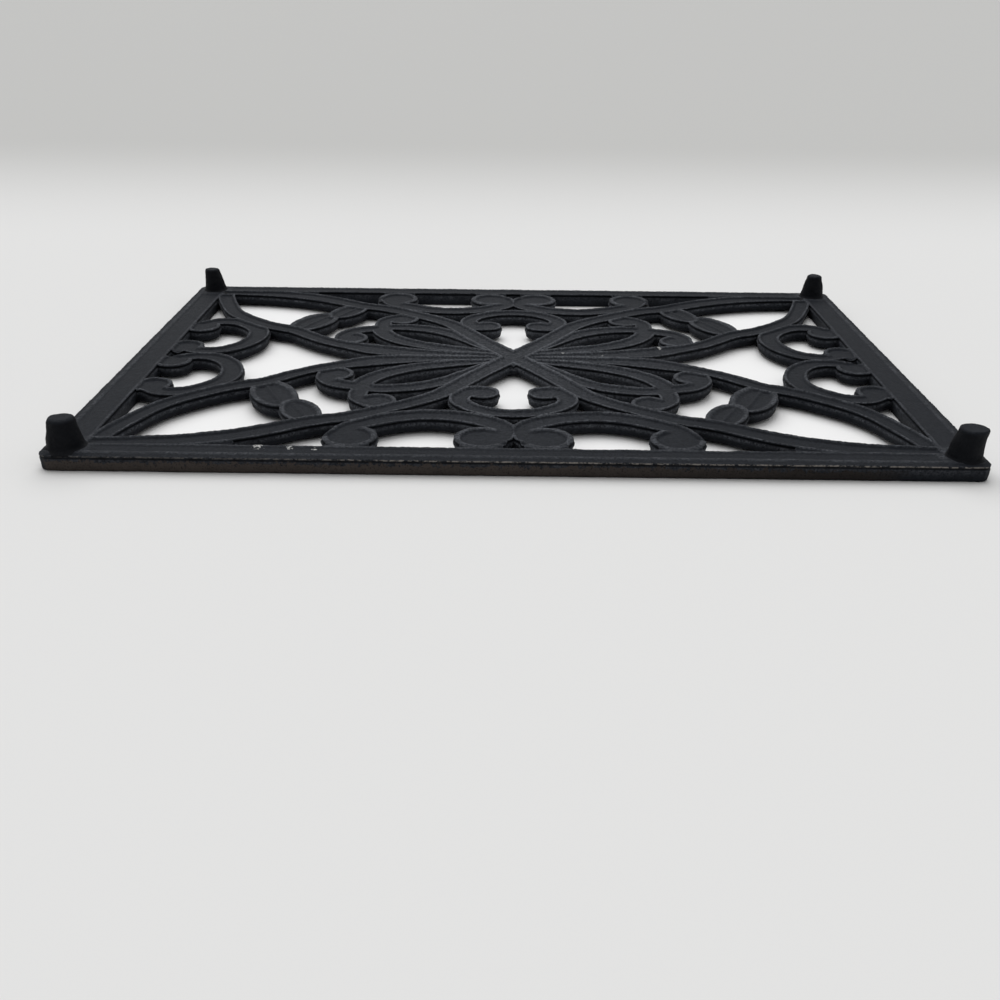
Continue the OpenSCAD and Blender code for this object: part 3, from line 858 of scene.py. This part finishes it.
def grain_tree():
    """Moves a skin along its normals by a fine and a coarse grain."""
    tree = bpy.data.node_groups.new("Casting grain", "GeometryNodeTree")
    face = tree.interface
    face.new_socket("Geometry", in_out="INPUT", socket_type="NodeSocketGeometry")
    for name in ("Fine height", "Coarse height", "Fine size", "Coarse size"):
        face.new_socket(name, in_out="INPUT", socket_type="NodeSocketFloat")
    face.new_socket("Seed", in_out="INPUT", socket_type="NodeSocketInt")
    face.new_socket("Material", in_out="INPUT", socket_type="NodeSocketMaterial")
    face.new_socket("Geometry", in_out="OUTPUT", socket_type="NodeSocketGeometry")
    n = Nodes(tree)
    given = n.add("NodeGroupInput").outputs
    place = n.add("GeometryNodeInputPosition").outputs[0]
    rim = n.add("GeometryNodeInputNamedAttribute", {"Name": "rim"}, data_type="FLOAT").outputs[0]

    def noise(size, detail):
        scale = n.math("DIVIDE", 1.0, given[size])
        made = n.add("ShaderNodeTexNoise", {
            "Vector": place, "W": given["Seed"], "Scale": scale, "Detail": detail,
        }, noise_dimensions="4D")
        return n.math("SUBTRACT", made.outputs["Fac"], 0.5)

    fine = n.math("MULTIPLY", noise("Fine size", 2.0), given["Fine height"])
    fine = n.math("MULTIPLY", fine, n.math("ADD", rim, 0.5))
    coarse = n.math("MULTIPLY", noise("Coarse size", 1.0), given["Coarse height"])
    height = n.math("MULTIPLY", n.math("ADD", fine, coarse), 2.0)
    normal = n.add("GeometryNodeInputNormal").outputs[0]
    offset = n.add("ShaderNodeVectorMath", {0: normal, "Scale": height}, operation="SCALE").outputs[0]
    moved = n.add("GeometryNodeSetPosition", {"Geometry": given["Geometry"], "Offset": offset})
    real = n.add("GeometryNodeRealizeInstances", {"Geometry": moved.outputs[0]})
    made = n.add("GeometryNodeSetMaterial", {"Geometry": real.outputs[0], "Material": given["Material"]})
    n.add("NodeGroupOutput", {"Geometry": made.outputs[0]})
    return tree


def run_tree(obj, tree, **inputs):
    """Evaluates a Geometry Nodes tree on an object and returns the plain mesh that it makes."""
    modifier = obj.modifiers.new(tree.name, "NODES")
    modifier.node_group = tree
    for item in tree.interface.items_tree:
        if item.in_out == "INPUT" and item.name in inputs:
            modifier[item.identifier] = inputs[item.name]
    bpy.context.view_layer.update()
    graph = bpy.context.evaluated_depsgraph_get()
    mesh = bpy.data.meshes.new_from_object(obj.evaluated_get(graph), depsgraph=graph)
    obj.modifiers.remove(modifier)
    return mesh


def new_object(name, mesh):
    obj = bpy.data.objects.new(name, mesh)
    bpy.context.scene.collection.objects.link(obj)
    return obj


def casting_key(scene):
    settings = scene.trivet_casting
    return tuple(getattr(settings, name) for name in settings.__annotations__)


@functools.lru_cache(maxsize=1)
def casting(key):
    """The whole skin with its grain, in metres, and the normals of its points."""
    settings = bpy.context.scene.trivet_casting
    shell = quarter_shell(settings)
    whole = mirror_quarters(shell)
    obj = new_object("casting_skin", mesh_from_arrays("casting_skin", whole["verts"] * MM, whole["faces"]))
    set_attribute(obj.data, "rim", whole["rim"])
    mesh = run_tree(obj, grain_tree(), **{
        "Fine height": settings.fine_grain, "Coarse height": settings.coarse_grain,
        "Fine size": settings.fine_size, "Coarse size": settings.coarse_size, "Seed": settings.seed,
        "Material": paint_material("skin_paint", "scroll"),
    })
    count = len(mesh.vertices)
    verts, normals = np.empty(3 * count, np.float32), np.empty(3 * count, np.float32)
    mesh.vertices.foreach_get("co", verts)
    mesh.vertex_normals.foreach_get("vector", normals)
    whole["verts"] = np.clip(verts.reshape(-1, 3), CAD_BOX[0], CAD_BOX[1])
    whole["normals"] = normals.reshape(-1, 3)
    whole["kinds"] = shell["kinds"]
    bpy.data.objects.remove(obj)
    bpy.data.meshes.remove(mesh)
    return whole


def cast_piece(name, kind, quarters, material):
    """The part of the skin that stands for one node, closed where it meets its neighbours."""
    whole = casting(casting_key(bpy.context.scene))
    chosen = (whole["kind"] == whole["kinds"].index(kind)) & np.isin(whole["quarter"], quarters)
    faces = whole["faces"][chosen]
    edges, _ = rim_edges(faces)
    twin = whole["twin"]
    upper = edges[(twin[edges] >= 0).all(1)]
    a, b, c, d = upper[:, 0], upper[:, 1], twin[upper[:, 1]], twin[upper[:, 0]]
    faces = np.vstack([faces, np.column_stack([a, d, c]), np.column_stack([a, c, b])])
    used, index = np.unique(faces, return_inverse=True)
    mesh = mesh_from_arrays(name, whole["verts"][used], index.reshape(-1, 3))
    for tone in ("rim", "painted_shade"):
        set_attribute(mesh, tone, whole[tone][used])
    mesh.shade_smooth()
    sides = whole["verts"][b] - whole["verts"][a]
    across = np.column_stack([sides[:, 1], -sides[:, 0], np.zeros(len(sides))])
    across /= np.maximum(np.linalg.norm(across, axis=1), 1e-9)[:, None]
    loops = whole["normals"][whole["faces"][chosen]].reshape(-1, 3)
    flat = np.repeat(np.vstack([across, across]), 3, axis=0)
    mesh.normals_split_custom_set(np.vstack([loops, flat]).tolist())
    mesh.materials.append(material)
    piece = new_object(name, mesh)
    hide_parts(name.removesuffix("_skin"))
    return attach(piece, BODY)


def quarters_on(side):
    """The numbers of the two quarters on one side, such as front or left."""
    return [k for k, quarter in enumerate(QUARTERS) if side in quarter]


def cast_group(kind, material):
    """The four pieces of a kind, one in each quarter."""
    for k, quarter in enumerate(QUARTERS):
        cast_piece(f"{kind}_{quarter}_skin", kind, [k], material)


# How far the tones of the outer side reach in from the edge, and the depths below the plate's top
# of the worn ridge, of the shade under it and of the brown's upper end, in millimetres
SIDE_W = 0.75
RIDGE_DEPTH = 0.7
SHADE_DEPTH = 1.2
BROWN_DEPTH = 1.9
# Where a tone of the outer side comes in along the length, from nothing to full, in millimetres
BROWN_ALONG = (122, 108)
DARK_BROWN_ALONG = (20, 100)
WORN_ALONG = (-90, -30)
SHADE_ALONG = (-40, -80)
# Distances from the middle between which the dust comes in, in millimetres
DUST_REACH = (85, 15)


def paint_material(name, place):
    """Matte paint over rough iron. The rims are lighter, partly from dust and wear and partly as painted
    highlight, and the outer ridge is worn. Painted shade darkens the walls under the edges, the undersides
    and the foot's sides.
    """
    if name in bpy.data.materials:
        return bpy.data.materials[name]
    finish = bpy.context.scene.trivet_finish
    material = bpy.data.materials.new(name)
    material.use_nodes = True
    tree = material.node_tree
    tree.nodes.clear()
    n = Nodes(tree)
    where = n.add("ShaderNodeTexCoord").outputs["Object"]
    rim = n.add("ShaderNodeAttribute", attribute_name="rim").outputs["Fac"]

    def noise(size, detail=3.0, rough=0.6):
        return n.add("ShaderNodeTexNoise", {
            "Vector": where, "Scale": 1 / (size * MM), "Detail": detail, "Roughness": rough,
        }).outputs["Fac"]

    def ramp(value, low, high):
        made = n.add("ShaderNodeMapRange", {"Value": value, "From Min": low, "From Max": high})
        made.clamp = True
        return made.outputs[0]

    def span(value, ends):
        return ramp(value, ends[0] * MM, ends[1] * MM)

    def mix(share, a, b):
        made = n.add("ShaderNodeMix", data_type="RGBA")
        tree.links.new(share, made.inputs["Factor"])
        for key, value in ((6, a), (7, b)):
            if isinstance(value, bpy.types.NodeSocket):
                tree.links.new(value, made.inputs[key])
            else:
                made.inputs[key].default_value = (*value, 1)
        return made.outputs[2]

    grain = noise(0.45)
    away = n.add("ShaderNodeVectorMath", {0: where}, operation="LENGTH").outputs["Value"]
    centre = span(away, DUST_REACH)
    # Painted shade under the edges, on the walls and on the side that faces the floor.
    painted_shade = n.add("ShaderNodeAttribute", attribute_name="painted_shade").outputs["Fac"]
    # Rims take the lighter colour: partly dust and wear, partly painted highlight.
    rim_wear_and_highlight = n.math("MULTIPLY", ramp(rim, 0.45, 0.95), ramp(noise(0.7), 0.36, 0.56))
    patches = n.math("MAXIMUM", ramp(noise(3.5, 4.0, 0.7), 0.36, 0.6), 0.4)
    patches = n.math("ADD", patches, n.math("MULTIPLY", centre, 0.6))
    rim_wear_and_highlight = n.math("MULTIPLY", rim_wear_and_highlight, n.math("MULTIPLY", patches, 0.5 if place == "rail" else 0.8))
    colour = mix(rim_wear_and_highlight, finish.paint, finish.rim)
    split = n.add("ShaderNodeSeparateXYZ", {0: where}).outputs
    specks = n.math("MULTIPLY", ramp(noise(0.9, 2.0, 0.8), 0.48, 0.62), 0.35)
    dusty = n.math("MULTIPLY", centre, n.math("ADD", specks, 0.08))
    blotch = n.math("MULTIPLY", ramp(noise(1.2, 4.0), 0.45, 0.75), 0.08)
    colour = mix(n.math("ADD", dusty, blotch), colour, finish.rim)
    if place == "rail":
        away_x = n.math("SUBTRACT", n.math("ABSOLUTE", split[0]), (BODY_L / 2 - SIDE_W) * MM)
        away_y = n.math("SUBTRACT", n.math("ABSOLUTE", split[1]), (BODY_W / 2 - SIDE_W) * MM)
        out = ramp(n.math("MAXIMUM", away_x, away_y), 0, 0.5 * MM)
        ragged = n.math("MULTIPLY", n.math("SUBTRACT", noise(1.8, 5.0, 0.75), 0.5), 7 * MM)
        low = n.math("ADD", n.math("SUBTRACT", (PLATE_T - BROWN_DEPTH) * MM, split[2]), ragged)
        along = n.math("ADD", split[0], n.math("MULTIPLY", noise(9), 30 * MM))
        bare_side = n.math("MULTIPLY", ramp(low, 0, 0.25 * MM), span(along, BROWN_ALONG))
        dark = n.math("MULTIPLY", span(along, DARK_BROWN_ALONG), 0.6)
        flank = mix(dark, finish.flank, finish.pit_and_shade)
        colour = mix(n.math("MULTIPLY", out, bare_side), colour, flank)
        level = n.math("ABSOLUTE", n.math("SUBTRACT", split[2], (PLATE_T - RIDGE_DEPTH) * MM))
        ridge = n.math("MULTIPLY", ramp(level, 0.26 * MM, 0.12 * MM), out)
        worn = n.math("MULTIPLY", ridge, ramp(noise(1.3, 5.0, 0.75), 0.44, 0.54))
        worn = n.math("MULTIPLY", worn, n.math("MAXIMUM", span(split[0], WORN_ALONG), 0.35))
        colour = mix(worn, colour, finish.bare)
        under = n.math("ABSOLUTE", n.math("SUBTRACT", split[2], (PLATE_T - SHADE_DEPTH) * MM))
        shade = n.math("MULTIPLY", ramp(under, 0.35 * MM, 0.1 * MM), out)
        shade = n.math("MULTIPLY", shade, ramp(noise(1.8, 4.0, 0.7), 0.45, 0.55))
        shade = n.math("MULTIPLY", shade, n.math("MAXIMUM", span(split[0], SHADE_ALONG), 0.15))
        painted_shade = n.math("MAXIMUM", painted_shade, shade)
    if place == "foot":
        # Painted shade: the foot's sides below its top are darkened, while the top stays lit.
        side = ramp(split[2], (FOOT_TOP - 0.2) * MM, (FOOT_TOP - 1.2) * MM)
        painted_shade = n.math("MULTIPLY", side, 0.65)
    else:
        near = 0.0
        for x, y, reach in SCUFFS:
            away = n.add("ShaderNodeVectorMath", {
                0: where, 1: (x * MM, y * MM, PLATE_T * MM)}, operation="DISTANCE").outputs["Value"]
            near = n.math("MAXIMUM", near, ramp(away, reach * MM, 0))
        chips = n.math("ADD", noise(0.7, 2.0), n.math("MULTIPLY", near, 0.35))
        chips = n.math("MULTIPLY", ramp(near, 0, 0.1), ramp(chips, 0.7, 0.76))
        colour = mix(chips, colour, finish.scuff)
        painted_shade = n.math("MULTIPLY", painted_shade, n.math("MAXIMUM", ramp(noise(3.0), 0.35, 0.6), 0.4))
        painted_shade = n.math("MULTIPLY", painted_shade, 0.85)
    # Random dark pits in the casting, and the painted shade, both darken towards the black.
    pits = n.math("MULTIPLY", ramp(noise(0.4, 2.0), 0.56, 0.66), 0.7)
    colour = mix(n.math("MAXIMUM", pits, painted_shade), colour, finish.pit_and_shade)
    bump = n.add("ShaderNodeBump", {
        "Height": n.math("ADD", n.math("MULTIPLY", grain, 0.7), noise(0.16)),
        "Strength": 0.9, "Distance": 0.16 * MM,
    })
    shader = n.add("ShaderNodeBsdfPrincipled", {
        "Base Color": colour, "Roughness": 0.66, "Normal": bump.outputs[0],
    })
    shader.inputs["Specular IOR Level"].default_value = finish.gloss
    n.add("ShaderNodeOutputMaterial", {"Surface": shader.outputs[0]})
    return material


def foot_tree():
    """One foot: a round section carried up a leaning line, with a fillet and a rounded tip."""
    tree = bpy.data.node_groups.new("Foot", "GeometryNodeTree")
    face = tree.interface
    face.new_socket("Geometry", in_out="INPUT", socket_type="NodeSocketGeometry")
    for name in ("Base radius", "Tip radius", "Fillet", "Rounding", "Height", "Dents", "Dent size"):
        face.new_socket(name, in_out="INPUT", socket_type="NodeSocketFloat")
    for name in ("Place", "Lean", "Bow"):
        face.new_socket(name, in_out="INPUT", socket_type="NodeSocketVector")
    face.new_socket("Seed", in_out="INPUT", socket_type="NodeSocketInt")
    face.new_socket("Material", in_out="INPUT", socket_type="NodeSocketMaterial")
    face.new_socket("Geometry", in_out="OUTPUT", socket_type="NodeSocketGeometry")
    n = Nodes(tree)
    given = n.add("NodeGroupInput").outputs
    up = n.add("ShaderNodeCombineXYZ", {"Z": given["Height"]}).outputs[0]
    line = n.add("GeometryNodeCurvePrimitiveLine", {"End": up}).outputs[0]
    line = n.add("GeometryNodeResampleCurve", {"Curve": line, "Count": 64}).outputs[0]
    along = n.add("GeometryNodeSplineParameter").outputs["Factor"]
    level = n.math("MULTIPLY", along, given["Height"])
    taper = n.add("ShaderNodeMix", {"Factor": along, 2: given["Base radius"], 3: given["Tip radius"]},
                  data_type="FLOAT").outputs[0]
    near_base = n.math("MAXIMUM", n.math("SUBTRACT", 1.0, n.math("DIVIDE", level, given["Fillet"])), 0.0)
    flare = n.math("MULTIPLY", n.math("POWER", near_base, 2.5), given["Fillet"])
    to_tip = n.math("SUBTRACT", given["Height"], level)
    near_tip = n.math("MAXIMUM", n.math("SUBTRACT", 1.0, n.math("DIVIDE", to_tip, given["Rounding"])), 0.0)
    bend = n.math("SQRT", n.math("SUBTRACT", 1.0, n.math("MULTIPLY", near_tip, near_tip)))
    inset = n.math("MULTIPLY", n.math("SUBTRACT", 1.0, bend), given["Rounding"])
    radius = n.math("SUBTRACT", n.math("ADD", taper, flare), inset)
    line = n.add("GeometryNodeSetCurveRadius", {"Curve": line, "Radius": radius}).outputs[0]
    section = n.add("GeometryNodeCurvePrimitiveCircle", {"Resolution": 72, "Radius": 1.0}).outputs[0]
    swept = n.add("GeometryNodeCurveToMesh", {
        "Curve": line, "Profile Curve": section, "Fill Caps": True})
    if "Scale" in swept.inputs:
        tree.links.new(n.add("GeometryNodeInputRadius").outputs[0], swept.inputs["Scale"])
    place = n.add("GeometryNodeInputPosition").outputs[0]
    height = n.add("ShaderNodeSeparateXYZ", {0: place}).outputs[2]
    share = n.math("DIVIDE", height, given["Height"])
    leaning = n.add(
        "ShaderNodeVectorMath", {0: given["Lean"], "Scale": share}, operation="SCALE").outputs[0]
    arch = n.math("MULTIPLY", n.math("MULTIPLY", share, n.math("SUBTRACT", 1.0, share)), 4.0)
    bowed = n.add("ShaderNodeVectorMath", {0: given["Bow"], "Scale": arch}, operation="SCALE").outputs[0]
    leaning = n.add("ShaderNodeVectorMath", {0: leaning, 1: bowed}, operation="ADD").outputs[0]
    shift = n.add("ShaderNodeVectorMath", {0: leaning, 1: given["Place"]}, operation="ADD").outputs[0]
    placed = n.add("GeometryNodeSetPosition", {"Geometry": swept.outputs[0], "Offset": shift}).outputs[0]
    bump = n.add("ShaderNodeTexNoise", {
        "Vector": place, "W": given["Seed"], "Scale": n.math("DIVIDE", 1.0, given["Dent size"]),
        "Detail": 3.0, "Roughness": 0.45,
    }, noise_dimensions="4D").outputs["Fac"]
    depth = n.math("MULTIPLY", n.math("SUBTRACT", bump, 0.55), given["Dents"])
    depth = n.math("MULTIPLY", depth, 2.0)
    normal = n.add("GeometryNodeInputNormal").outputs[0]
    dent = n.add("ShaderNodeVectorMath", {0: normal, "Scale": depth}, operation="SCALE").outputs[0]
    dented = n.add("GeometryNodeSetPosition", {"Geometry": placed, "Offset": dent}).outputs[0]
    smooth = n.add("GeometryNodeSetShadeSmooth", {"Geometry": dented}).outputs[0]
    real = n.add("GeometryNodeRealizeInstances", {"Geometry": smooth}).outputs[0]
    made = n.add("GeometryNodeSetMaterial", {"Geometry": real, "Material": given["Material"]})
    n.add("NodeGroupOutput", {"Geometry": made.outputs[0]})
    return tree


class TRIVET_OT_stage(Operator):
    """Makes the floor, the lights, the world and the camera"""

    bl_idname = "trivet.stage"
    bl_label = "Stage"

    def execute(self, context):
        settings = context.scene.trivet_stage
        make_floor(settings)
        make_lights(settings)
        make_world(settings)
        make_camera(settings)
        context.scene.view_settings.view_transform = "Standard"
        return {"FINISHED"}


# Distances over which the floor fades to its darker far colour, a painted shade standing for a backdrop
# lit less than the floor, behind the trivet and all round, in metres
FADE_BEHIND = (0.18, 0.56)
FADE_ROUND = (0.7, 1.8)
# How far the painted pool of light on the floor of the openings reaches under the rail, in millimetres
UNDER_RAIL = 3


def make_floor(settings):
    """A wide pale floor, with a painted pool of light in the trivet's openings, that fades behind it to a
    painted shade standing for a backdrop lit less than the floor.
    """
    reach = 30.0
    corners = [(-reach, -reach, 0), (reach, -reach, 0), (reach, reach, 0), (-reach, reach, 0)]
    mesh = bpy.data.meshes.new("floor")
    mesh.from_pydata(corners, [], [(0, 1, 2, 3)])
    floor = new_object("floor", mesh)
    material = bpy.data.materials.new("pale_floor")
    material.use_nodes = True
    tree = material.node_tree
    tree.nodes.clear()
    n = Nodes(tree)
    where = n.add("ShaderNodeTexCoord").outputs["Object"]
    across, back, _ = n.add("ShaderNodeSeparateXYZ", {0: where}).outputs
    away = n.add("ShaderNodeVectorMath", {0: where}, operation="LENGTH").outputs["Value"]
    shares = [n.add("ShaderNodeMapRange", {
        "Value": value, "From Min": near, "From Max": far}, interpolation_type="SMOOTHSTEP").outputs[0]
              for value, (near, far) in ((back, FADE_BEHIND), (away, FADE_ROUND))]
    # Painted shade: the floor darkens behind the trivet and far away.
    fade = n.add("ShaderNodeMix", {
        0: n.math("MAXIMUM", *shares), 6: (*settings.floor, 1), 7: (*settings.far_floor_shade, 1)},
        data_type="RGBA")
    inside = [n.math("LESS_THAN", n.math("ABSOLUTE", value), size * MM)
              for value, size in ((across, FIELD_L + UNDER_RAIL), (back, FIELD_W + UNDER_RAIL))]
    # Painted light: the floor inside the rail is lighter.
    opening_light = n.add("ShaderNodeMix", {
        0: n.math("MULTIPLY", *inside), 6: fade.outputs[2], 7: (*settings.lit_opening_floor, 1)},
        data_type="RGBA")
    shader = n.add("ShaderNodeBsdfPrincipled", {"Base Color": opening_light.outputs[2], "Roughness": 0.9})
    shader.inputs["Specular IOR Level"].default_value = 0.1
    n.add("ShaderNodeOutputMaterial", {"Surface": shader.outputs[0]})
    mesh.materials.append(material)


# The way the soft light from behind shines, and how wide it is, in degrees
SUN_AHEAD = (0.15, -0.5, -0.85)
SUN_WIDTH = 60


def make_lights(settings):
    data = bpy.data.lights.new("soft_sun", "SUN")
    data.energy = settings.sun
    data.angle = math.radians(SUN_WIDTH)
    lamp = new_object("soft_sun", data)
    lamp.rotation_euler = Vector(SUN_AHEAD).to_track_quat("-Z", "Y").to_euler()


# The light from all round: its level at the sides, what it gains from above and from behind, and
# its least level
SKY_SIDES = 0.3
SKY_ABOVE = 0.75
SKY_BEHIND = 0.2
SKY_LEAST = 0.1


def make_world(settings):
    """Light that is strongest from above and behind, before a backdrop of the far floor's colour."""
    world = bpy.data.worlds.new("studio")
    bpy.context.scene.world = world
    world.use_nodes = True
    tree = world.node_tree
    tree.nodes.clear()
    n = Nodes(tree)
    towards = n.add("ShaderNodeSeparateXYZ", {0: n.add("ShaderNodeTexCoord").outputs["Generated"]}).outputs
    above = n.math("MULTIPLY", towards[2], SKY_ABOVE)
    behind = n.math("MULTIPLY", towards[1], SKY_BEHIND)
    level = n.math("ADD", n.math("ADD", above, behind), SKY_SIDES)
    level = n.math("MAXIMUM", level, SKY_LEAST)
    path = n.add("ShaderNodeLightPath").outputs
    mirrored = n.math("MAXIMUM", path["Is Glossy Ray"], path["Is Transmission Ray"])
    sky = n.math("MULTIPLY", level, settings.sky)
    light = n.add("ShaderNodeBackground", {"Color": (1, 1, 1, 1), "Strength": sky})
    shown = n.add("ShaderNodeBackground", {"Color": (1, 1, 1, 1), "Strength": n.math("MINIMUM", sky, 1.0)})
    backdrop = n.add("ShaderNodeBackground", {"Color": (*settings.far_floor_shade, 1), "Strength": 1.0})
    both = n.add("ShaderNodeMixShader", {0: mirrored, 1: light.outputs[0], 2: shown.outputs[0]})
    both = n.add("ShaderNodeMixShader", {
        0: path["Is Camera Ray"], 1: both.outputs[0], 2: backdrop.outputs[0]})
    n.add("ShaderNodeOutputWorld", {"Surface": both.outputs[0]})


# The photograph's camera: its place in millimetres, the way to its right and the way it looks
CAMERA_AT = (-1.9, -351.5, 120.8)
CAMERA_RIGHT = (0.9999, 0.0105, 0.0088)
CAMERA_AHEAD = (-0.0056, 0.9003, -0.4352)


def make_camera(settings):
    data = bpy.data.cameras.new("camera")
    data.lens = settings.lens
    data.sensor_width = 36.0
    data.clip_start, data.clip_end = 0.01, 100
    camera = new_object("camera", data)
    ahead = Vector(CAMERA_AHEAD).normalized()
    right = Vector(CAMERA_RIGHT)
    right = (right - ahead * right.dot(ahead)).normalized()
    down = ahead.cross(right)
    turned = Matrix((right, -down, -ahead)).transposed()
    camera.matrix_world = Matrix.Translation(Vector(CAMERA_AT) * MM) @ turned.to_4x4()
    bpy.context.scene.camera = camera


class TRIVET_OT_rails(Operator):
    """Makes the four rails with their margin, bead and worn ridge"""

    bl_idname = "trivet.rails"
    bl_label = "Rails"

    def execute(self, context):
        material = paint_material("rail_paint", "rail")
        for side in ("front", "back"):
            cast_piece(f"{side}_rail_skin", "long_rail", quarters_on(side), material)
        for side in ("left", "right"):
            cast_piece(f"{side}_rail_skin", "end_rail", quarters_on(side), material)
        return {"FINISHED"}


class TRIVET_OT_arms(Operator):
    """Makes the arms and the arcs that run from the middle to the corners"""

    bl_idname = "trivet.arms"
    bl_label = "Arms and arcs"

    def execute(self, context):
        material = paint_material("scroll_paint", "scroll")
        for kind in ("arm", "arc"):
            cast_group(kind, material)
        return {"FINISHED"}


class TRIVET_OT_wings(Operator):
    """Makes the wings and the end arcs that run from the middle to the ends"""

    bl_idname = "trivet.wings"
    bl_label = "Wings and end arcs"

    def execute(self, context):
        material = paint_material("scroll_paint", "scroll")
        for kind in ("wing", "end_arc"):
            cast_group(kind, material)
        return {"FINISHED"}


class TRIVET_OT_petals(Operator):
    """Makes the petals with their curls, and the leaves"""

    bl_idname = "trivet.petals"
    bl_label = "Petals and leaves"

    def execute(self, context):
        material = paint_material("scroll_paint", "scroll")
        for kind in ("petal", "leaves"):
            cast_group(kind, material)
        return {"FINISHED"}


class TRIVET_OT_scrolls(Operator):
    """Makes the scrolls along the rails and the two middle scrolls"""

    bl_idname = "trivet.scrolls"
    bl_label = "Scrolls"

    def execute(self, context):
        material = paint_material("scroll_paint", "scroll")
        for kind in ("long_scroll", "end_scroll"):
            cast_group(kind, material)
        for side in ("front", "back"):
            cast_piece(f"middle_scroll_{side}_skin", "middle_scroll", quarters_on(side), material)
        return {"FINISHED"}


class TRIVET_OT_boss(Operator):
    """Makes the boss where the bands cross in the middle"""

    bl_idname = "trivet.boss"
    bl_label = "Boss"

    def execute(self, context):
        material = paint_material("scroll_paint", "scroll")
        cast_piece("boss_skin", "boss", list(range(len(QUARTERS))), material)
        return {"FINISHED"}


class TRIVET_OT_feet(Operator):
    """Makes the four feet"""

    bl_idname = "trivet.feet"
    bl_label = "Feet"

    def execute(self, context):
        settings = context.scene.trivet_foot
        material = paint_material("foot_paint", "foot")
        tree = foot_tree()
        sunk = FOOT_SUNK * MM
        for seed, (quarter, (sx, sy)) in enumerate(QUARTERS.items()):
            name = f"foot_{quarter}"
            base, tip, rounding, moved, lean, bow = FOOT_SHAPES[quarter]
            seat = new_object(f"{name}_skin", bpy.data.meshes.new(f"{name}_skin"))
            place = Vector((sx * (FOOT_AT.x + moved), sy * FOOT_AT.y, PLATE_T - sunk / MM)) * MM
            mesh = run_tree(seat, tree, **{
                "Base radius": settings.base_radius * base, "Tip radius": settings.tip_radius * tip,
                "Fillet": settings.fillet, "Rounding": rounding * MM,
                "Height": (FOOT_TOP - PLATE_T) * MM + sunk, "Dents": settings.dents,
                "Dent size": settings.dent_size, "Place": place,
                "Lean": (sx * lean * MM, sy * settings.lean, 0), "Bow": (sx * bow * MM, 0, 0),
                "Seed": seed, "Material": material,
            })
            verts = np.empty(3 * len(mesh.vertices), np.float32)
            mesh.vertices.foreach_get("co", verts)
            kept = np.clip(verts.reshape(-1, 3), CAD_BOX[0], (*CAD_BOX[1].xy, FOOT_TOP * MM))
            mesh.vertices.foreach_set("co", kept.ravel())
            seat.data = mesh
            for tone in ("rim", "painted_shade"):
                set_attribute(mesh, tone, np.zeros(len(mesh.vertices)))
            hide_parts(name)
            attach(seat, BODY)
        return {"FINISHED"}


class TRIVET_PT_panel(Panel):
    """Lists the steps that dress the trivet"""

    bl_idname = "TRIVET_PT_panel"
    bl_label = "Trivet"
    bl_space_type = "VIEW_3D"
    bl_region_type = "UI"
    bl_category = "Trivet"

    def draw(self, context):
        for operator in OPERATORS:
            self.layout.operator(operator.bl_idname)
        for settings in (context.scene.trivet_casting, context.scene.trivet_foot,
                         context.scene.trivet_finish, context.scene.trivet_stage):
            box = self.layout.box()
            for name in settings.__annotations__:
                box.prop(settings, name)


OPERATORS = (
    TRIVET_OT_stage, TRIVET_OT_rails, TRIVET_OT_arms, TRIVET_OT_wings, TRIVET_OT_petals,
    TRIVET_OT_scrolls, TRIVET_OT_boss, TRIVET_OT_feet,
)
GROUPS = {
    "trivet_casting": TrivetCastingSettings,
    "trivet_foot": TrivetFootSettings,
    "trivet_finish": TrivetFinishSettings,
    "trivet_stage": TrivetStageSettings,
}


def register():
    for cls in (*GROUPS.values(), *OPERATORS, TRIVET_PT_panel):
        bpy.utils.register_class(cls)
    for name, group in GROUPS.items():
        setattr(bpy.types.Scene, name, PointerProperty(type=group))


def unregister():
    for name in GROUPS:
        delattr(bpy.types.Scene, name)
    for cls in (TRIVET_PT_panel, *reversed(OPERATORS), *reversed(GROUPS.values())):
        bpy.utils.unregister_class(cls)


def main():
    register()
    bpy.ops.trivet.stage()
    bpy.ops.trivet.rails()
    bpy.ops.trivet.arms()
    bpy.ops.trivet.wings()
    bpy.ops.trivet.petals()
    bpy.ops.trivet.scrolls()
    bpy.ops.trivet.boss()
    bpy.ops.trivet.feet()


if __name__ == "__main__":
    main()
